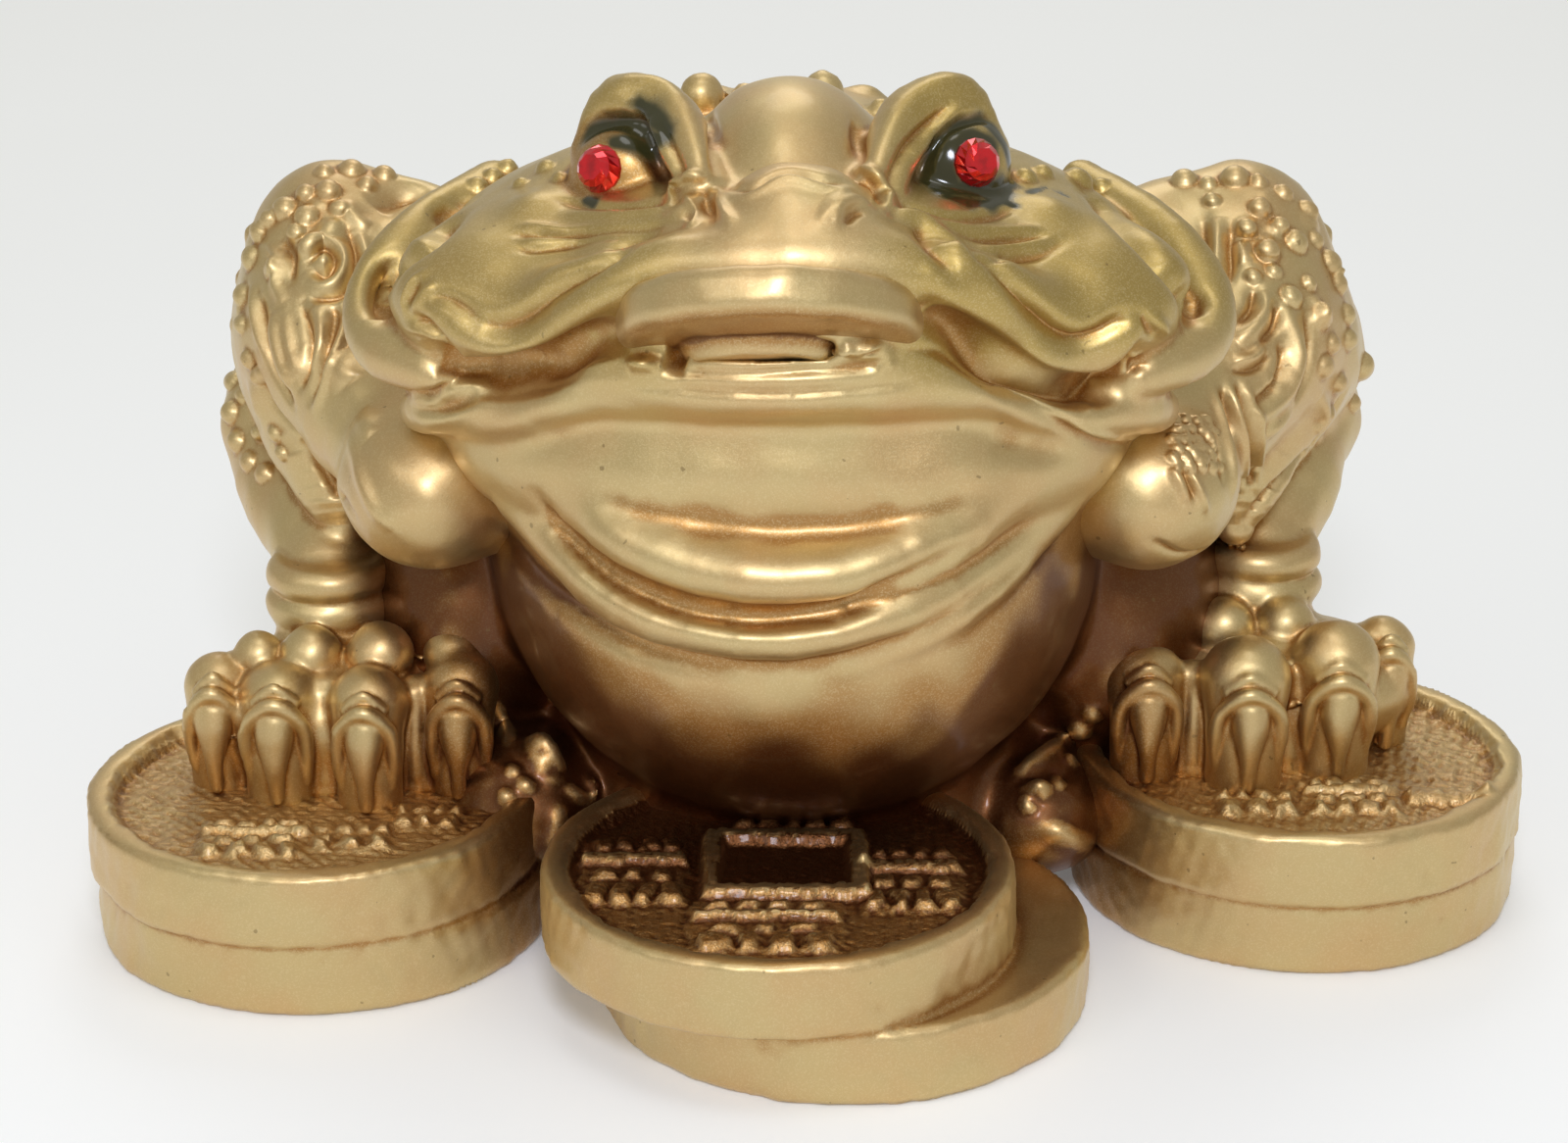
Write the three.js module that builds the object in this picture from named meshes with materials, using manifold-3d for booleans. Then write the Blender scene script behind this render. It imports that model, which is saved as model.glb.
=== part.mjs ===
// A money toad: a small figure of a three-legged toad, a coin in its mouth, that sits on stacks of coins.
// Millimetres, +Z up. The toad faces -Y, and the floor is z = 0.
// The origin is the middle of the underside's bounding box.
import * as THREE from "three";
import { mergeVertices } from "three/addons/utils/BufferGeometryUtils.js";
import Module from "manifold-3d";

// The toad's own height over the coins. Its pose and carving are drawn for 62.5 and follow it.
const TOAD_HEIGHT = 62.5;
const FORM = TOAD_HEIGHT / 62.5;

// The big coins, two to a stack.
const COIN_DIAMETER = 40;
const COIN_THICKNESS = 6.65;
const COINS_IN_STACK = 2;
const COIN_EDGE_ROUND = 0.8;
const COIN_RIM_WIDTH = 2.8;
const COIN_FIELD_DEPTH = 0.9;
const COIN_SIDES = 24;
const HOLE_WIDTH = 10.7;
const HOLE_LENGTH = 9;
const HOLE_BORDER = 1.3;
const HOLE_DEPTH = 1.3;
const STROKE_WIDTH = 0.9;
const STROKE_HEIGHT = 0.8;
const STROKE_BLOCK_LONG = 7.5;
const STROKE_BLOCK_SHORT = 4.4;
const STROKE_MARGIN = 1;

// The coin in the mouth.
const MOUTH_COIN_DIAMETER = 24;
const MOUTH_COIN_THICKNESS = 4;
const MOUTH_COIN_RIM_WIDTH = 6.2;
const MOUTH_COIN_DISH = 0.8;
const MOUTH_COIN_TILT_DEG = 29.5;
const MOUTH_COIN_SIDES = 20;

// The red stones that are glued on as eyes.
const STONE_DIAMETER = 4;
const STONE_HEIGHT = 1.7;
const STONE_SEAT_DEPTH = 0.7;
const STONE_FACETS = 8;

// What touches keeps this much room.
const CLEARANCE = 0.3;
const MERGE_DISTANCE = 1e-5;

const COIN_RADIUS = COIN_DIAMETER / 2;
const SEAT_LEVEL = COIN_THICKNESS * COINS_IN_STACK;
const FIELD_LEVEL = SEAT_LEVEL - COIN_FIELD_DEPTH;

// Where the toad's own axis stands from the middle of the underside.
const TOAD_X = -2.1 * FORM;
const TOAD_Y = -4.1 * FORM;

// Centres of the stacks, and how far the lower coin of each has slipped from the upper one. The
// lower coin in front is also a little wider.
const STACKS = {
  left: { x: -44, y: -17, slipX: 0.6, slipY: 0.4 },
  right: { x: 44, y: -9.5, slipX: -0.1, slipY: 0.5 },
  front: { x: -3, y: -33, slipX: 5.7, slipY: 2.2, wider: 1.045 },
  rear: { x: -2.1, y: 33, slipX: 1, slipY: -0.8 },
};

const wasm = await Module();
wasm.setup();

function solidOf(geometry) {
  geometry.deleteAttribute("normal");
  geometry.deleteAttribute("uv");
  const merged = mergeVertices(geometry, MERGE_DISTANCE);
  return new wasm.Manifold(
    new wasm.Mesh({
      numProp: 3,
      vertProperties: merged.attributes.position.array,
      triVerts: new Uint32Array(merged.index.array),
    }),
  );
}

function joined(solids) {
  return solids.reduce((whole, next) => whole.add(next));
}

function geometryOf(solid) {
  const mesh = solid.getMesh();
  const geometry = new THREE.BufferGeometry();
  geometry.setAttribute("position", new THREE.BufferAttribute(mesh.vertProperties, 3));
  geometry.setIndex(new THREE.BufferAttribute(mesh.triVerts, 1));
  geometry.computeVertexNormals();
  return geometry;
}

// A point of the toad's form: x and y from its axis, z over the coins it sits on.
function formPoint([x, y, z]) {
  return new THREE.Vector3(TOAD_X + x * FORM, TOAD_Y + y * FORM, SEAT_LEVEL + z * FORM);
}

// An ellipsoid of the toad's form, turned about X and then about Z.
function ball(centre, radii, { tip = 0, turn = 0, around = 10, rows = 6 } = {}) {
  const geometry = new THREE.SphereGeometry(1, around, rows);
  geometry.rotateX(Math.PI / 2);
  geometry.scale(...radii.map((radius) => radius * FORM));
  geometry.rotateX(THREE.MathUtils.degToRad(tip));
  geometry.rotateZ(THREE.MathUtils.degToRad(turn));
  geometry.translate(...formPoint(centre).toArray());
  return solidOf(geometry);
}

// A round-ended limb, roll or ridge: a sphere drawn out along a smooth curve, with a radius at each point.
// Its points are [x, y, z, radius]. The normal is any direction that the curve never follows.
function limb(points, { around = 6, rows = 8, normal = [0, 0, 1] } = {}) {
  const curve = new THREE.CatmullRomCurve3(points.map(([x, y, z]) => formPoint([x, y, z])));
  const widths = new THREE.CatmullRomCurve3(points.map((p) => new THREE.Vector3(p[3] * FORM, 0, 0)));
  const startRadius = points[0][3] * FORM;
  const endRadius = points[points.length - 1][3] * FORM;
  const length = curve.getLength();
  const geometry = new THREE.SphereGeometry(1, around, rows);
  const position = geometry.getAttribute("position");
  const direction = new THREE.Vector3(...normal);
  for (let i = 0; i < position.count; i += 1) {
    const spot = new THREE.Vector3().fromBufferAttribute(position, i);
    const along = -startRadius + ((length + startRadius + endRadius) * (1 - spot.y)) / 2;
    const t = THREE.MathUtils.clamp(along / length, 0, 1);
    const beyond = along - t * length;
    const endLimit = beyond < 0 ? startRadius : endRadius;
    const radius = widths.getPoint(t).x * Math.sqrt(Math.max(0, 1 - (beyond / endLimit) ** 2));
    const tangent = curve.getTangent(t);
    const across = new THREE.Vector3().crossVectors(direction, tangent).normalize();
    const out = new THREE.Vector3().crossVectors(tangent, across);
    const ring = Math.hypot(spot.x, spot.z) || 1;
    const place = curve.getPoint(t).addScaledVector(tangent, beyond);
    place.addScaledVector(across, (radius * spot.x) / ring);
    place.addScaledVector(out, (radius * spot.z) / ring);
    position.setXYZ(i, place.x, place.y, place.z);
  }
  return solidOf(geometry);
}

// The same point list on the other side of the toad's axis.
function mirrored(points) {
  return points.map(([x, ...rest]) => [-x, ...rest]);
}

function bothSides(points, options) {
  return [limb(points, options), limb(mirrored(points), options)];
}

// A wart is a low ball that sinks into the skin by a share of its radius.
const WART_SINK = 0.6;

function wart(spot, radius) {
  return ball(spot, [radius, radius, radius], { around: 5, rows: 3 });
}

// A point on an ellipsoid, from its bearing (0 is front, 90 is the right side) and height angle.
function onBall(centre, radii, bearingDeg, heightDeg, lift = 0) {
  const bearing = THREE.MathUtils.degToRad(bearingDeg);
  const height = THREE.MathUtils.degToRad(heightDeg);
  const direction = [
    Math.sin(bearing) * Math.cos(height),
    -Math.cos(bearing) * Math.cos(height),
    Math.sin(height),
  ];
  return centre.map((value, i) => value + (radii[i] + lift) * direction[i]);
}

// Coins

function profileOf(points) {
  return points.map(([x, y]) => new THREE.Vector2(x, y));
}

function lathe(profile, sides) {
  const geometry = new THREE.LatheGeometry(profile, sides);
  geometry.rotateX(Math.PI / 2);
  return solidOf(geometry);
}

// A coin's profile starts and ends on the axis, from the bottom face up. The rim stands over the field.
function bigCoin(x, y, z) {
  const side = [
    [0, 0],
    [COIN_RADIUS - COIN_EDGE_ROUND, 0],
    [COIN_RADIUS, COIN_EDGE_ROUND],
    [COIN_RADIUS, COIN_THICKNESS - COIN_EDGE_ROUND],
    [COIN_RADIUS - COIN_EDGE_ROUND, COIN_THICKNESS],
  ];
  const inside = COIN_RADIUS - COIN_RIM_WIDTH;
  const rim = [
    [inside + COIN_FIELD_DEPTH, COIN_THICKNESS],
    [inside, COIN_THICKNESS - COIN_FIELD_DEPTH],
    [0, COIN_THICKNESS - COIN_FIELD_DEPTH],
  ];
  return lathe(profileOf([...side, ...rim]), COIN_SIDES).translate([x, y, z]);
}

// The lower coin is seen only from the side, and reaches a little way into the one on top.
function lowerCoin(x, y, z, radius) {
  const profile = [
    [0, 0],
    [radius - COIN_EDGE_ROUND, 0],
    [radius, COIN_EDGE_ROUND],
    [radius, COIN_THICKNESS - COIN_EDGE_ROUND],
    [radius - COIN_EDGE_ROUND, COIN_THICKNESS],
    [0, COIN_THICKNESS + CLEARANCE],
  ];
  return lathe(profileOf(profile), COIN_SIDES).translate([x, y, z]);
}

function block(width, length, height, x, y, z) {
  const geometry = new THREE.BoxGeometry(width, length, height);
  geometry.translate(x, y, z);
  return solidOf(geometry);
}

function stackOfCoins({ x, y, slipX, slipY, wider = 1 }) {
  const coins = [bigCoin(x * FORM, y * FORM, SEAT_LEVEL - COIN_THICKNESS)];
  for (let below = 1; below < COINS_IN_STACK; below += 1) {
    const level = SEAT_LEVEL - COIN_THICKNESS * (below + 1);
    const [atX, atY] = [(x + slipX * below) * FORM, (y + slipY * below) * FORM];
    coins.push(lowerCoin(atX, atY, level, COIN_RADIUS * wider));
  }
  return joined(coins);
}

// Shallow strokes that stand in the place of an inscription: rows of plain bars.
function strokes(x, y, width, length) {
  const rows = Math.max(2, Math.round(length / (2 * STROKE_WIDTH)));
  const pitch = (length - STROKE_WIDTH) / (rows - 1);
  const bars = [];
  for (let row = 0; row < rows; row += 1) {
    const shorter = row % 2 ? 0.7 : 1;
    const across = y - length / 2 + STROKE_WIDTH / 2 + row * pitch;
    bars.push(block(width * shorter, STROKE_WIDTH, 2 * STROKE_HEIGHT, x, across, FIELD_LEVEL));
  }
  return bars;
}

// The front coin shows its square hole, a little off its middle, with a raised border and strokes.
const HOLE_X = (STACKS.front.x + 0.6) * FORM;
const HOLE_Y = (STACKS.front.y + 0.6) * FORM;

function holeBorder() {
  return block(
    HOLE_WIDTH + 2 * HOLE_BORDER,
    HOLE_LENGTH + 2 * HOLE_BORDER,
    2 * COIN_FIELD_DEPTH,
    HOLE_X,
    HOLE_Y,
    FIELD_LEVEL,
  );
}

function squareHole() {
  const height = HOLE_DEPTH + COIN_FIELD_DEPTH;
  return block(HOLE_WIDTH, HOLE_LENGTH, height * 2, HOLE_X, HOLE_Y, SEAT_LEVEL);
}

function frontInscription() {
  const away = HOLE_BORDER + STROKE_MARGIN + STROKE_BLOCK_SHORT / 2;
  return [
    ...strokes(HOLE_X - HOLE_WIDTH / 2 - away, HOLE_Y, STROKE_BLOCK_SHORT, STROKE_BLOCK_LONG),
    ...strokes(HOLE_X + HOLE_WIDTH / 2 + away, HOLE_Y, STROKE_BLOCK_SHORT, STROKE_BLOCK_LONG),
    ...strokes(HOLE_X, HOLE_Y - HOLE_LENGTH / 2 - away, STROKE_BLOCK_LONG, STROKE_BLOCK_SHORT),
  ];
}

// On the side coins the strokes lie in front of the toes.
function sideInscription({ x, y }) {
  const toRim = COIN_RADIUS - COIN_RIM_WIDTH - STROKE_MARGIN - STROKE_BLOCK_SHORT / 2;
  return strokes(x * FORM, y * FORM - toRim, STROKE_BLOCK_LONG, STROKE_BLOCK_SHORT);
}

// Body

const TRUNK = { centre: [0, 14, 25], radii: [31, 37, 31] };

// Belly, trunk, the seat under them, the closed hollows inside the arms, and the lumps between the coins.
function bodyMasses() {
  return [
    ball([0.6, -2, 20], [27, 33, 24.5], { around: 18, rows: 9 }),
    ball(TRUNK.centre, TRUNK.radii, { around: 16, rows: 9 }),
    ball([0, 12, -6], [28, 32, 20], { around: 14 }),
    ball([-29, 8, 9], [10, 17, 17]),
    ball([29, 9, 9], [12, 17, 17]),
    ball([-24, -10, -3], [7, 8, 6], { around: 7, rows: 4 }),
    ball([24, -9, -4], [7.5, 8, 6], { around: 7, rows: 4 }),
  ];
}

// Soft rolls hang under the chin. Each is half an arc, from its end to the middle.
const CHIN_ROLLS = [
  [
    [-19, -24, 33, 2],
    [-12, -30.8, 29.5, 2.8],
    [0, -33.8, 27.8, 3.2],
  ],
  [
    [-22, -21, 29, 2],
    [-13, -30, 24, 2.8],
    [0, -33.4, 22, 3.2],
  ],
];

function chinRolls() {
  return CHIN_ROLLS.map((half) => limb(wholeArc(half)));
}

// Head

// Skull, snout, lower jaw, forehead, nose and cheeks.
function headMasses() {
  return [
    ball([0, -9, 44.5], [31, 25, 13.5], { around: 16, rows: 8 }),
    ball([0, -22, 47.5], [19, 14.5, 9.5], { tip: -8, around: 12 }),
    ball([0, -10, 34], [30, 24.2, 14], { around: 16 }),
    ball([0, -12, 55.1], [7.8, 12, 7.4]),
    ball([0.6, -28.6, 53.9], [6.5, 6.2, 5.8], { around: 8, rows: 5 }),
    ball([-22, -18, 46.5], [11, 11, 6.5], { turn: -35 }),
    ball([22, -18, 46.5], [11, 11, 6.5], { turn: 35 }),
  ];
}

const UPPER_LIP = [
  [-30.5, -17, 46.5, 1.8],
  [-27, -21.5, 45.8, 2.4],
  [-22.5, -26, 45.6, 2.6],
  [-17.5, -30, 49.3, 2.6],
  [-11, -33, 52.2, 2.4],
  [0, -34.6, 53.4, 2.6],
];
const LOWER_LIP = [
  [-31, -14.5, 35, 2],
  [-29, -20.3, 37, 2.2],
  [-22.5, -25.6, 38.8, 2.2],
  [-15, -30.6, 42.4, 2.2],
  [0, -34.2, 43.3, 2.3],
];
const JAW_ROLL = [
  [-26, 5, 49.4, 2.2],
  [-31.5, -4.5, 47.6, 2.5],
  [-34.8, -11.5, 44.2, 2.6],
  [-33.8, -17, 41.6, 2.6],
  [-29, -22, 40.8, 2.2],
  [-25.4, -23.6, 40.6, 1.2],
];
const BROW = [
  [-7, -24, 57, 1.6],
  [-9.5, -17, 60, 2.6],
  [-13.5, -13.5, 60.6, 2.8],
  [-16.3, -14, 57.3, 1.8],
];
const LOWER_LID = [
  [-9, -26, 53, 1.2],
  [-14, -23.5, 51.6, 1.5],
  [-19.5, -17.5, 52, 1.4],
];
const NOSTRIL = [
  [6.2, -30.5, 52.3, 0.9],
  [8.6, -28.6, 54.2, 1.3],
  [6.2, -26.6, 56, 1.1],
  [4.6, -27.6, 55.4, 0.8],
];
const CHEEK_FOLD = [
  [-12, -28, 50.5, 1.1],
  [-20, -24, 47.5, 1.5],
  [-27, -17, 48, 1.2],
];

function wholeArc(half) {
  return [...half, ...mirrored(half.slice(0, -1)).reverse()];
}

function faceRolls() {
  return [
    limb(wholeArc(UPPER_LIP), { rows: 14 }),
    limb(wholeArc(LOWER_LIP), { rows: 12 }),
    ...bothSides(JAW_ROLL),
    ...bothSides(BROW),
    ...bothSides(LOWER_LID, { around: 5, rows: 5 }),
    ...bothSides(CHEEK_FOLD, { around: 5, rows: 5 }),
    ...bothSides(NOSTRIL, { around: 5, rows: 5 }),
  ];
}

const EYE_RADIUS = 5.2;
const EYES = {
  left: { centre: [-12.8, -14.8, 55.3], bearing: -32, height: 18 },
  right: { centre: [13.1, -14.9, 55.9], bearing: 26, height: 18 },
};

function eyeball({ centre }) {
  return ball(centre, [EYE_RADIUS, EYE_RADIUS, EYE_RADIUS], { around: 8 });
}

// Limbs

// The right arm is drawn, and side -1 makes the left one from it.
const UPPER_ARM = { centre: [42, 14.5, 33], radii: [9.2, 14, 15] };
const SHOULDER = [
  [27, -8, 27.5, 7.5],
  [34, -2, 30, 8],
];
// How each arm goes on from the shoulder: its path, the root of its point, its elbow and its wrist.
const BENDS = {
  left: {
    point: [41.4, 12, 31, 8.8],
    wrist: [
      [42, 3.2, 15, 4.8],
      [41.3, -0.4, 11, 5.4],
    ],
    path: [
      [40, 8, 34, 9],
      [42.5, 17, 31, 7.5],
    ],
    elbow: { centre: [48.2, 19, 22.5], radii: [5.6, 6, 6.2] },
  },
  right: {
    point: [42.5, 12, 31, 10],
    wrist: [
      [43.6, 8.2, 15, 4.9],
      [42.8, 4.6, 11, 5.4],
    ],
    path: [
      [41, 8, 34, 9],
      [46, 18, 30, 8],
    ],
    elbow: { centre: [50, 21, 22.5], radii: [4.6, 5.4, 5.4] },
  },
};
const ELBOW = [
  [47.5, 22, 24, 6],
  [46.5, 14, 19, 5.4],
];

function onSide(side, [x, ...rest]) {
  return [side * x, ...rest];
}

// The upper arm runs out in a point over the forearm.
const ARM_POINT = [
  [41, 6, 26, 7],
  [40.6, 2.6, 21.4, 4],
  [40.4, 1.4, 18.6, 1.8],
];

function arm(side) {
  const path = (points) => points.map((point) => onSide(side, point));
  const bend = side < 0 ? BENDS.left : BENDS.right;
  return [
    limb(path([bend.point, ...ARM_POINT]), { rows: 6 }),
    limb(path([...SHOULDER, ...bend.path]), { around: 7, rows: 6 }),
    ball(onSide(side, UPPER_ARM.centre), UPPER_ARM.radii, { tip: 24, turn: -side * 8 }),
    limb(path([...ELBOW, ...bend.wrist]), { around: 7, rows: 6 }),
    ball(onSide(side, [30.8, -8, 27]), [8.4, 11, 8], { around: 8 }),
    ball(onSide(side, bend.elbow.centre), bend.elbow.radii, { around: 7, rows: 5 }),
  ];
}

// Warts spiral over the outside of the upper arm.
const ARM_WARTS = 11;
const GOLDEN_ANGLE = 137.5;

function armWarts(side) {
  const list = [];
  for (let i = 0; i < ARM_WARTS; i += 1) {
    const height = 78 - i * 8;
    const bearing = side * (62 + 52 * Math.sin(THREE.MathUtils.degToRad(i * GOLDEN_ANGLE)));
    const radius = 1.4 + 0.35 * Math.sin(i * 2.1);
    const centre = onSide(side, UPPER_ARM.centre);
    list.push(wart(onBall(centre, UPPER_ARM.radii, bearing, height, -WART_SINK * radius), radius));
  }
  return list;
}

// Flame-like locks sweep up the front of the upper arm.
function armFlames(side) {
  const list = [];
  for (let i = 0; i < 3; i += 1) {
    const x = 38 + i * 3.6;
    const y = 4 + i * 1.2;
    const rise = 20 + i * 2.4;
    const points = [
      [x - 3, y - 2.2, rise, 0.9],
      [x - 0.6, y - 1.6 + i * 0.4, rise + 6, 1.5],
      [x + 0.4, y + 1.4 + i * 0.4, rise + 12, 0.8],
    ];
    list.push(limb(points.map((point) => onSide(side, point)), { around: 5, rows: 5 }));
  }
  return list;
}

// Feet

// Toes from the outside in: place across, place of the claw's tip, radius, height of the knuckle's top.
// Knuckles of the second row: place across, back and up, and radius.
const FEET = {
  left: {
    ankle: [-41.5, -0.7],
    bands: [-41, -0.1],
    knuckles: [
      [-47.1, -7.6, 9.8, 2],
      [-42.6, -7.6, 10.1, 2.2],
      [-36.5, -7.6, 10.1, 2.6],
      [-29.7, -7.6, 10.1, 2.4],
    ],
    toes: [
      [-50.8, -15.5, 2.9, 10.2],
      [-44.6, -18, 3.5, 10.6],
      [-36.7, -19.6, 3.2, 10.5],
      [-28.6, -16.5, 2.9, 10.9],
    ],
  },
  right: {
    ankle: [44.7, 4.8],
    bands: [42.5, 5.4],
    knuckles: [
      [33.5, -1, 9.6, 2.2],
      [40, -1, 9.9, 2.5],
      [45, -0.6, 10, 2.4],
    ],
    toes: [
      [54.4, -6, 2.9, 10],
      [49, -12.6, 4, 12],
      [40.6, -15.6, 4.1, 11.7],
      [31.9, -13.4, 3.7, 10.4],
    ],
  },
};
const CLAW_RADIUS = 1.9;

// A toe stands on the coin under its knuckle, with a claw in front.
function toe([x, tip, radius, top]) {
  return [
    limb(
      [
        [x, tip + 6.5, top - radius, radius],
        [x, tip + 5.2, 4, radius * 0.88],
        [x, tip + 5, 0, radius * 0.82],
      ],
      { rows: 6 },
    ),
    limb(
      [
        [x, tip + 2.8, 6.4, CLAW_RADIUS],
        [x, tip + 1.2, 3, CLAW_RADIUS * 0.7],
        [x, tip + 0.3, 0, CLAW_RADIUS * 0.3],
      ],
      { around: 5, rows: 4 },
    ),
  ];
}

function frontFoot({ ankle: [x, y], bands, knuckles, toes }) {
  return [
    ball([x, y - 5, 4], [12.5, 8.5, 6.4], { around: 8, rows: 5 }),
    ball([...bands, 14.1], [6.2, 6.1, 1.9], { rows: 4 }),
    ball([...bands, 17], [6, 5.9, 1.7], { rows: 4 }),
    ...knuckles.map(([kx, ky, kz, r]) => ball([kx, ky, kz], [r, r, r], { around: 5, rows: 3 })),
    ...toes.flatMap(toe),
  ];
}

// The third leg comes out under the rump, and its foot lies on the rear coins.
function hindLeg() {
  const shank = [
    [0, 36, 16, 11],
    [0, 43, 9, 9],
    [0, 47, 3, 7.5],
  ];
  const parts = [limb(shank, { around: 8, rows: 7, normal: [0, 1, 0] })];
  for (const dx of [-8, -2.7, 2.7, 8]) {
    const hindToe = [
      [dx * 0.7, 44, 4.6, 3],
      [dx, 49, 3.4, 2.8],
      [dx * 1.15, 53.4, 0.4, 1.2],
    ];
    parts.push(limb(hindToe, { rows: 5 }));
  }
  return parts;
}

// Warts lie in rows down the back, on both sides of a plain ridge. Each row is lower and more spread.
const BACK_WART_ROWS = 5;
const BACK_WARTS_ACROSS = 4;

function backWarts() {
  const list = [];
  for (let row = 0; row < BACK_WART_ROWS; row += 1) {
    const radius = 2.3 - 0.12 * row;
    for (let i = 0; i < BACK_WARTS_ACROSS; i += 1) {
      const across = (i - (BACK_WARTS_ACROSS - 1) / 2) * (13 + row * 1.5);
      const back = -4 + row * 12 - Math.abs(across) * 0.12;
      list.push(wart(onTrunk(across, back, -WART_SINK * radius), radius));
    }
  }
  return list;
}

// A point on the trunk's upper side, at a distance across and behind its centre, measured over the surface.
function onTrunk(across, back, lift) {
  const [rx, ry, rz] = TRUNK.radii;
  const sideways = across / rx;
  const backward = back / ((ry + rz) / 2);
  const direction = [
    Math.sin(sideways),
    Math.cos(sideways) * Math.sin(backward),
    Math.cos(sideways) * Math.cos(backward),
  ];
  return TRUNK.centre.map((value, i) => value + (TRUNK.radii[i] + lift) * direction[i]);
}

// Eye stones and their seats

function stoneFrame({ centre, bearing, height }) {
  const radii = [EYE_RADIUS, EYE_RADIUS, EYE_RADIUS];
  const centreSpot = formPoint(centre);
  const surface = formPoint(onBall(centre, radii, bearing, height));
  const outward = surface.clone().sub(centreSpot).normalize();
  const seat = surface.addScaledVector(outward, -STONE_SEAT_DEPTH);
  const turn = new THREE.Quaternion().setFromUnitVectors(new THREE.Vector3(0, 0, 1), outward);
  return { seat, turn, outward };
}

function seatCut(eye) {
  const { seat, turn, outward } = stoneFrame(eye);
  const depth = STONE_HEIGHT * 3;
  const radius = STONE_DIAMETER / 2 + CLEARANCE;
  const geometry = new THREE.CylinderGeometry(radius, radius, depth, 2 * STONE_FACETS);
  geometry.rotateX(Math.PI / 2);
  geometry.applyQuaternion(turn);
  const middle = seat.clone().addScaledVector(outward, depth / 2);
  geometry.translate(middle.x, middle.y, middle.z);
  return solidOf(geometry);
}

function stoneMesh(name, eye, material) {
  const radius = STONE_DIAMETER / 2;
  const profile = [
    [0, 0],
    [radius, 0],
    [radius, STONE_HEIGHT * 0.18],
    [radius * 0.55, STONE_HEIGHT],
    [0, STONE_HEIGHT],
  ];
  const mesh = new THREE.Mesh(geometryOf(lathe(profileOf(profile), STONE_FACETS)), material);
  const { seat, turn, outward } = stoneFrame(eye);
  mesh.name = name;
  mesh.quaternion.copy(turn);
  mesh.position.copy(seat).addScaledVector(outward, CLEARANCE);
  return mesh;
}

// Mouth coin and its slot

const MOUTH_COIN_SPOT = formPoint([-1.5, -32.3, 48]);

function placeInMouth(object) {
  object.rotation.x = -THREE.MathUtils.degToRad(MOUTH_COIN_TILT_DEG);
  object.position.copy(MOUTH_COIN_SPOT);
  return object;
}

function mouthCoinMesh(material) {
  const radius = MOUTH_COIN_DIAMETER / 2;
  const half = MOUTH_COIN_THICKNESS / 2;
  const round = MOUTH_COIN_THICKNESS * 0.2;
  const inner = radius - MOUTH_COIN_RIM_WIDTH;
  const profile = [
    [0, -half + MOUTH_COIN_DISH],
    [inner - MOUTH_COIN_DISH, -half + MOUTH_COIN_DISH],
    [inner, -half],
    [radius - round, -half],
    [radius, -half + round],
    [radius, half - round],
    [radius - round, half],
    [0, half],
  ];
  const mesh = new THREE.Mesh(geometryOf(lathe(profileOf(profile), MOUTH_COIN_SIDES)), material);
  mesh.name = "mouth_coin";
  return placeInMouth(mesh);
}

function mouthSlot() {
  const radius = MOUTH_COIN_DIAMETER / 2 + CLEARANCE;
  const height = MOUTH_COIN_THICKNESS + 2 * CLEARANCE;
  const geometry = new THREE.CylinderGeometry(radius, radius, height, MOUTH_COIN_SIDES);
  geometry.rotateX(Math.PI / 2);
  const place = placeInMouth(new THREE.Object3D());
  place.updateMatrix();
  geometry.applyMatrix4(place.matrix);
  return solidOf(geometry);
}

// The mouth is a little open under the coin.
function mouthGap() {
  return ball([-1.5, -34.4, 46.3], [6, 4.6, 1], { tip: -28, around: 8, rows: 4 });
}

// What lies under the floor is cut off, which leaves the flat underside.
function underFloor() {
  const side = COIN_DIAMETER * 10;
  return block(side, side, side, 0, 0, -side / 2);
}

function toadSolid() {
  const base = joined([...Object.values(STACKS).map(stackOfCoins), holeBorder()]);
  const sideCoins = [STACKS.left, STACKS.right];
  const relief = joined([...frontInscription(), ...sideCoins.flatMap(sideInscription)]);
  const figure = joined([
    ...bodyMasses(),
    ...headMasses(),
    ...chinRolls(),
    ...faceRolls(),
    ...Object.values(EYES).map(eyeball),
    ...[-1, 1].flatMap((side) => [...arm(side), ...armWarts(side), ...armFlames(side)]),
    ...Object.values(FEET).flatMap(frontFoot),
    ...hindLeg(),
    ...backWarts(),
  ]);
  const cuts = joined([...Object.values(EYES).map(seatCut), mouthSlot(), mouthGap(), underFloor()]);
  return base.subtract(squareHole()).add(relief).add(figure).subtract(cuts);
}

const gold = new THREE.MeshStandardMaterial({ color: 0xb08d4a, roughness: 0.42, metalness: 0.8 });
const red = new THREE.MeshStandardMaterial({ color: 0xd0141e, roughness: 0.08, metalness: 0 });

const toad = new THREE.Mesh(geometryOf(toadSolid()), gold);
toad.name = "toad";

const group = new THREE.Group();
group.add(toad);
group.add(mouthCoinMesh(gold));
group.add(stoneMesh("left_eye_stone", EYES.left, red));
group.add(stoneMesh("right_eye_stone", EYES.right, red));

export default group;
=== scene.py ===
"""A money toad figure: the casting, its coins and its eye stones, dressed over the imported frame."""

from __future__ import annotations

import logging
import math
from dataclasses import dataclass, replace
from enum import Enum
from typing import Protocol, Sequence

import bpy
import numpy as np
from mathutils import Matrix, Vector
from mathutils.bvhtree import BVHTree

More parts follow.
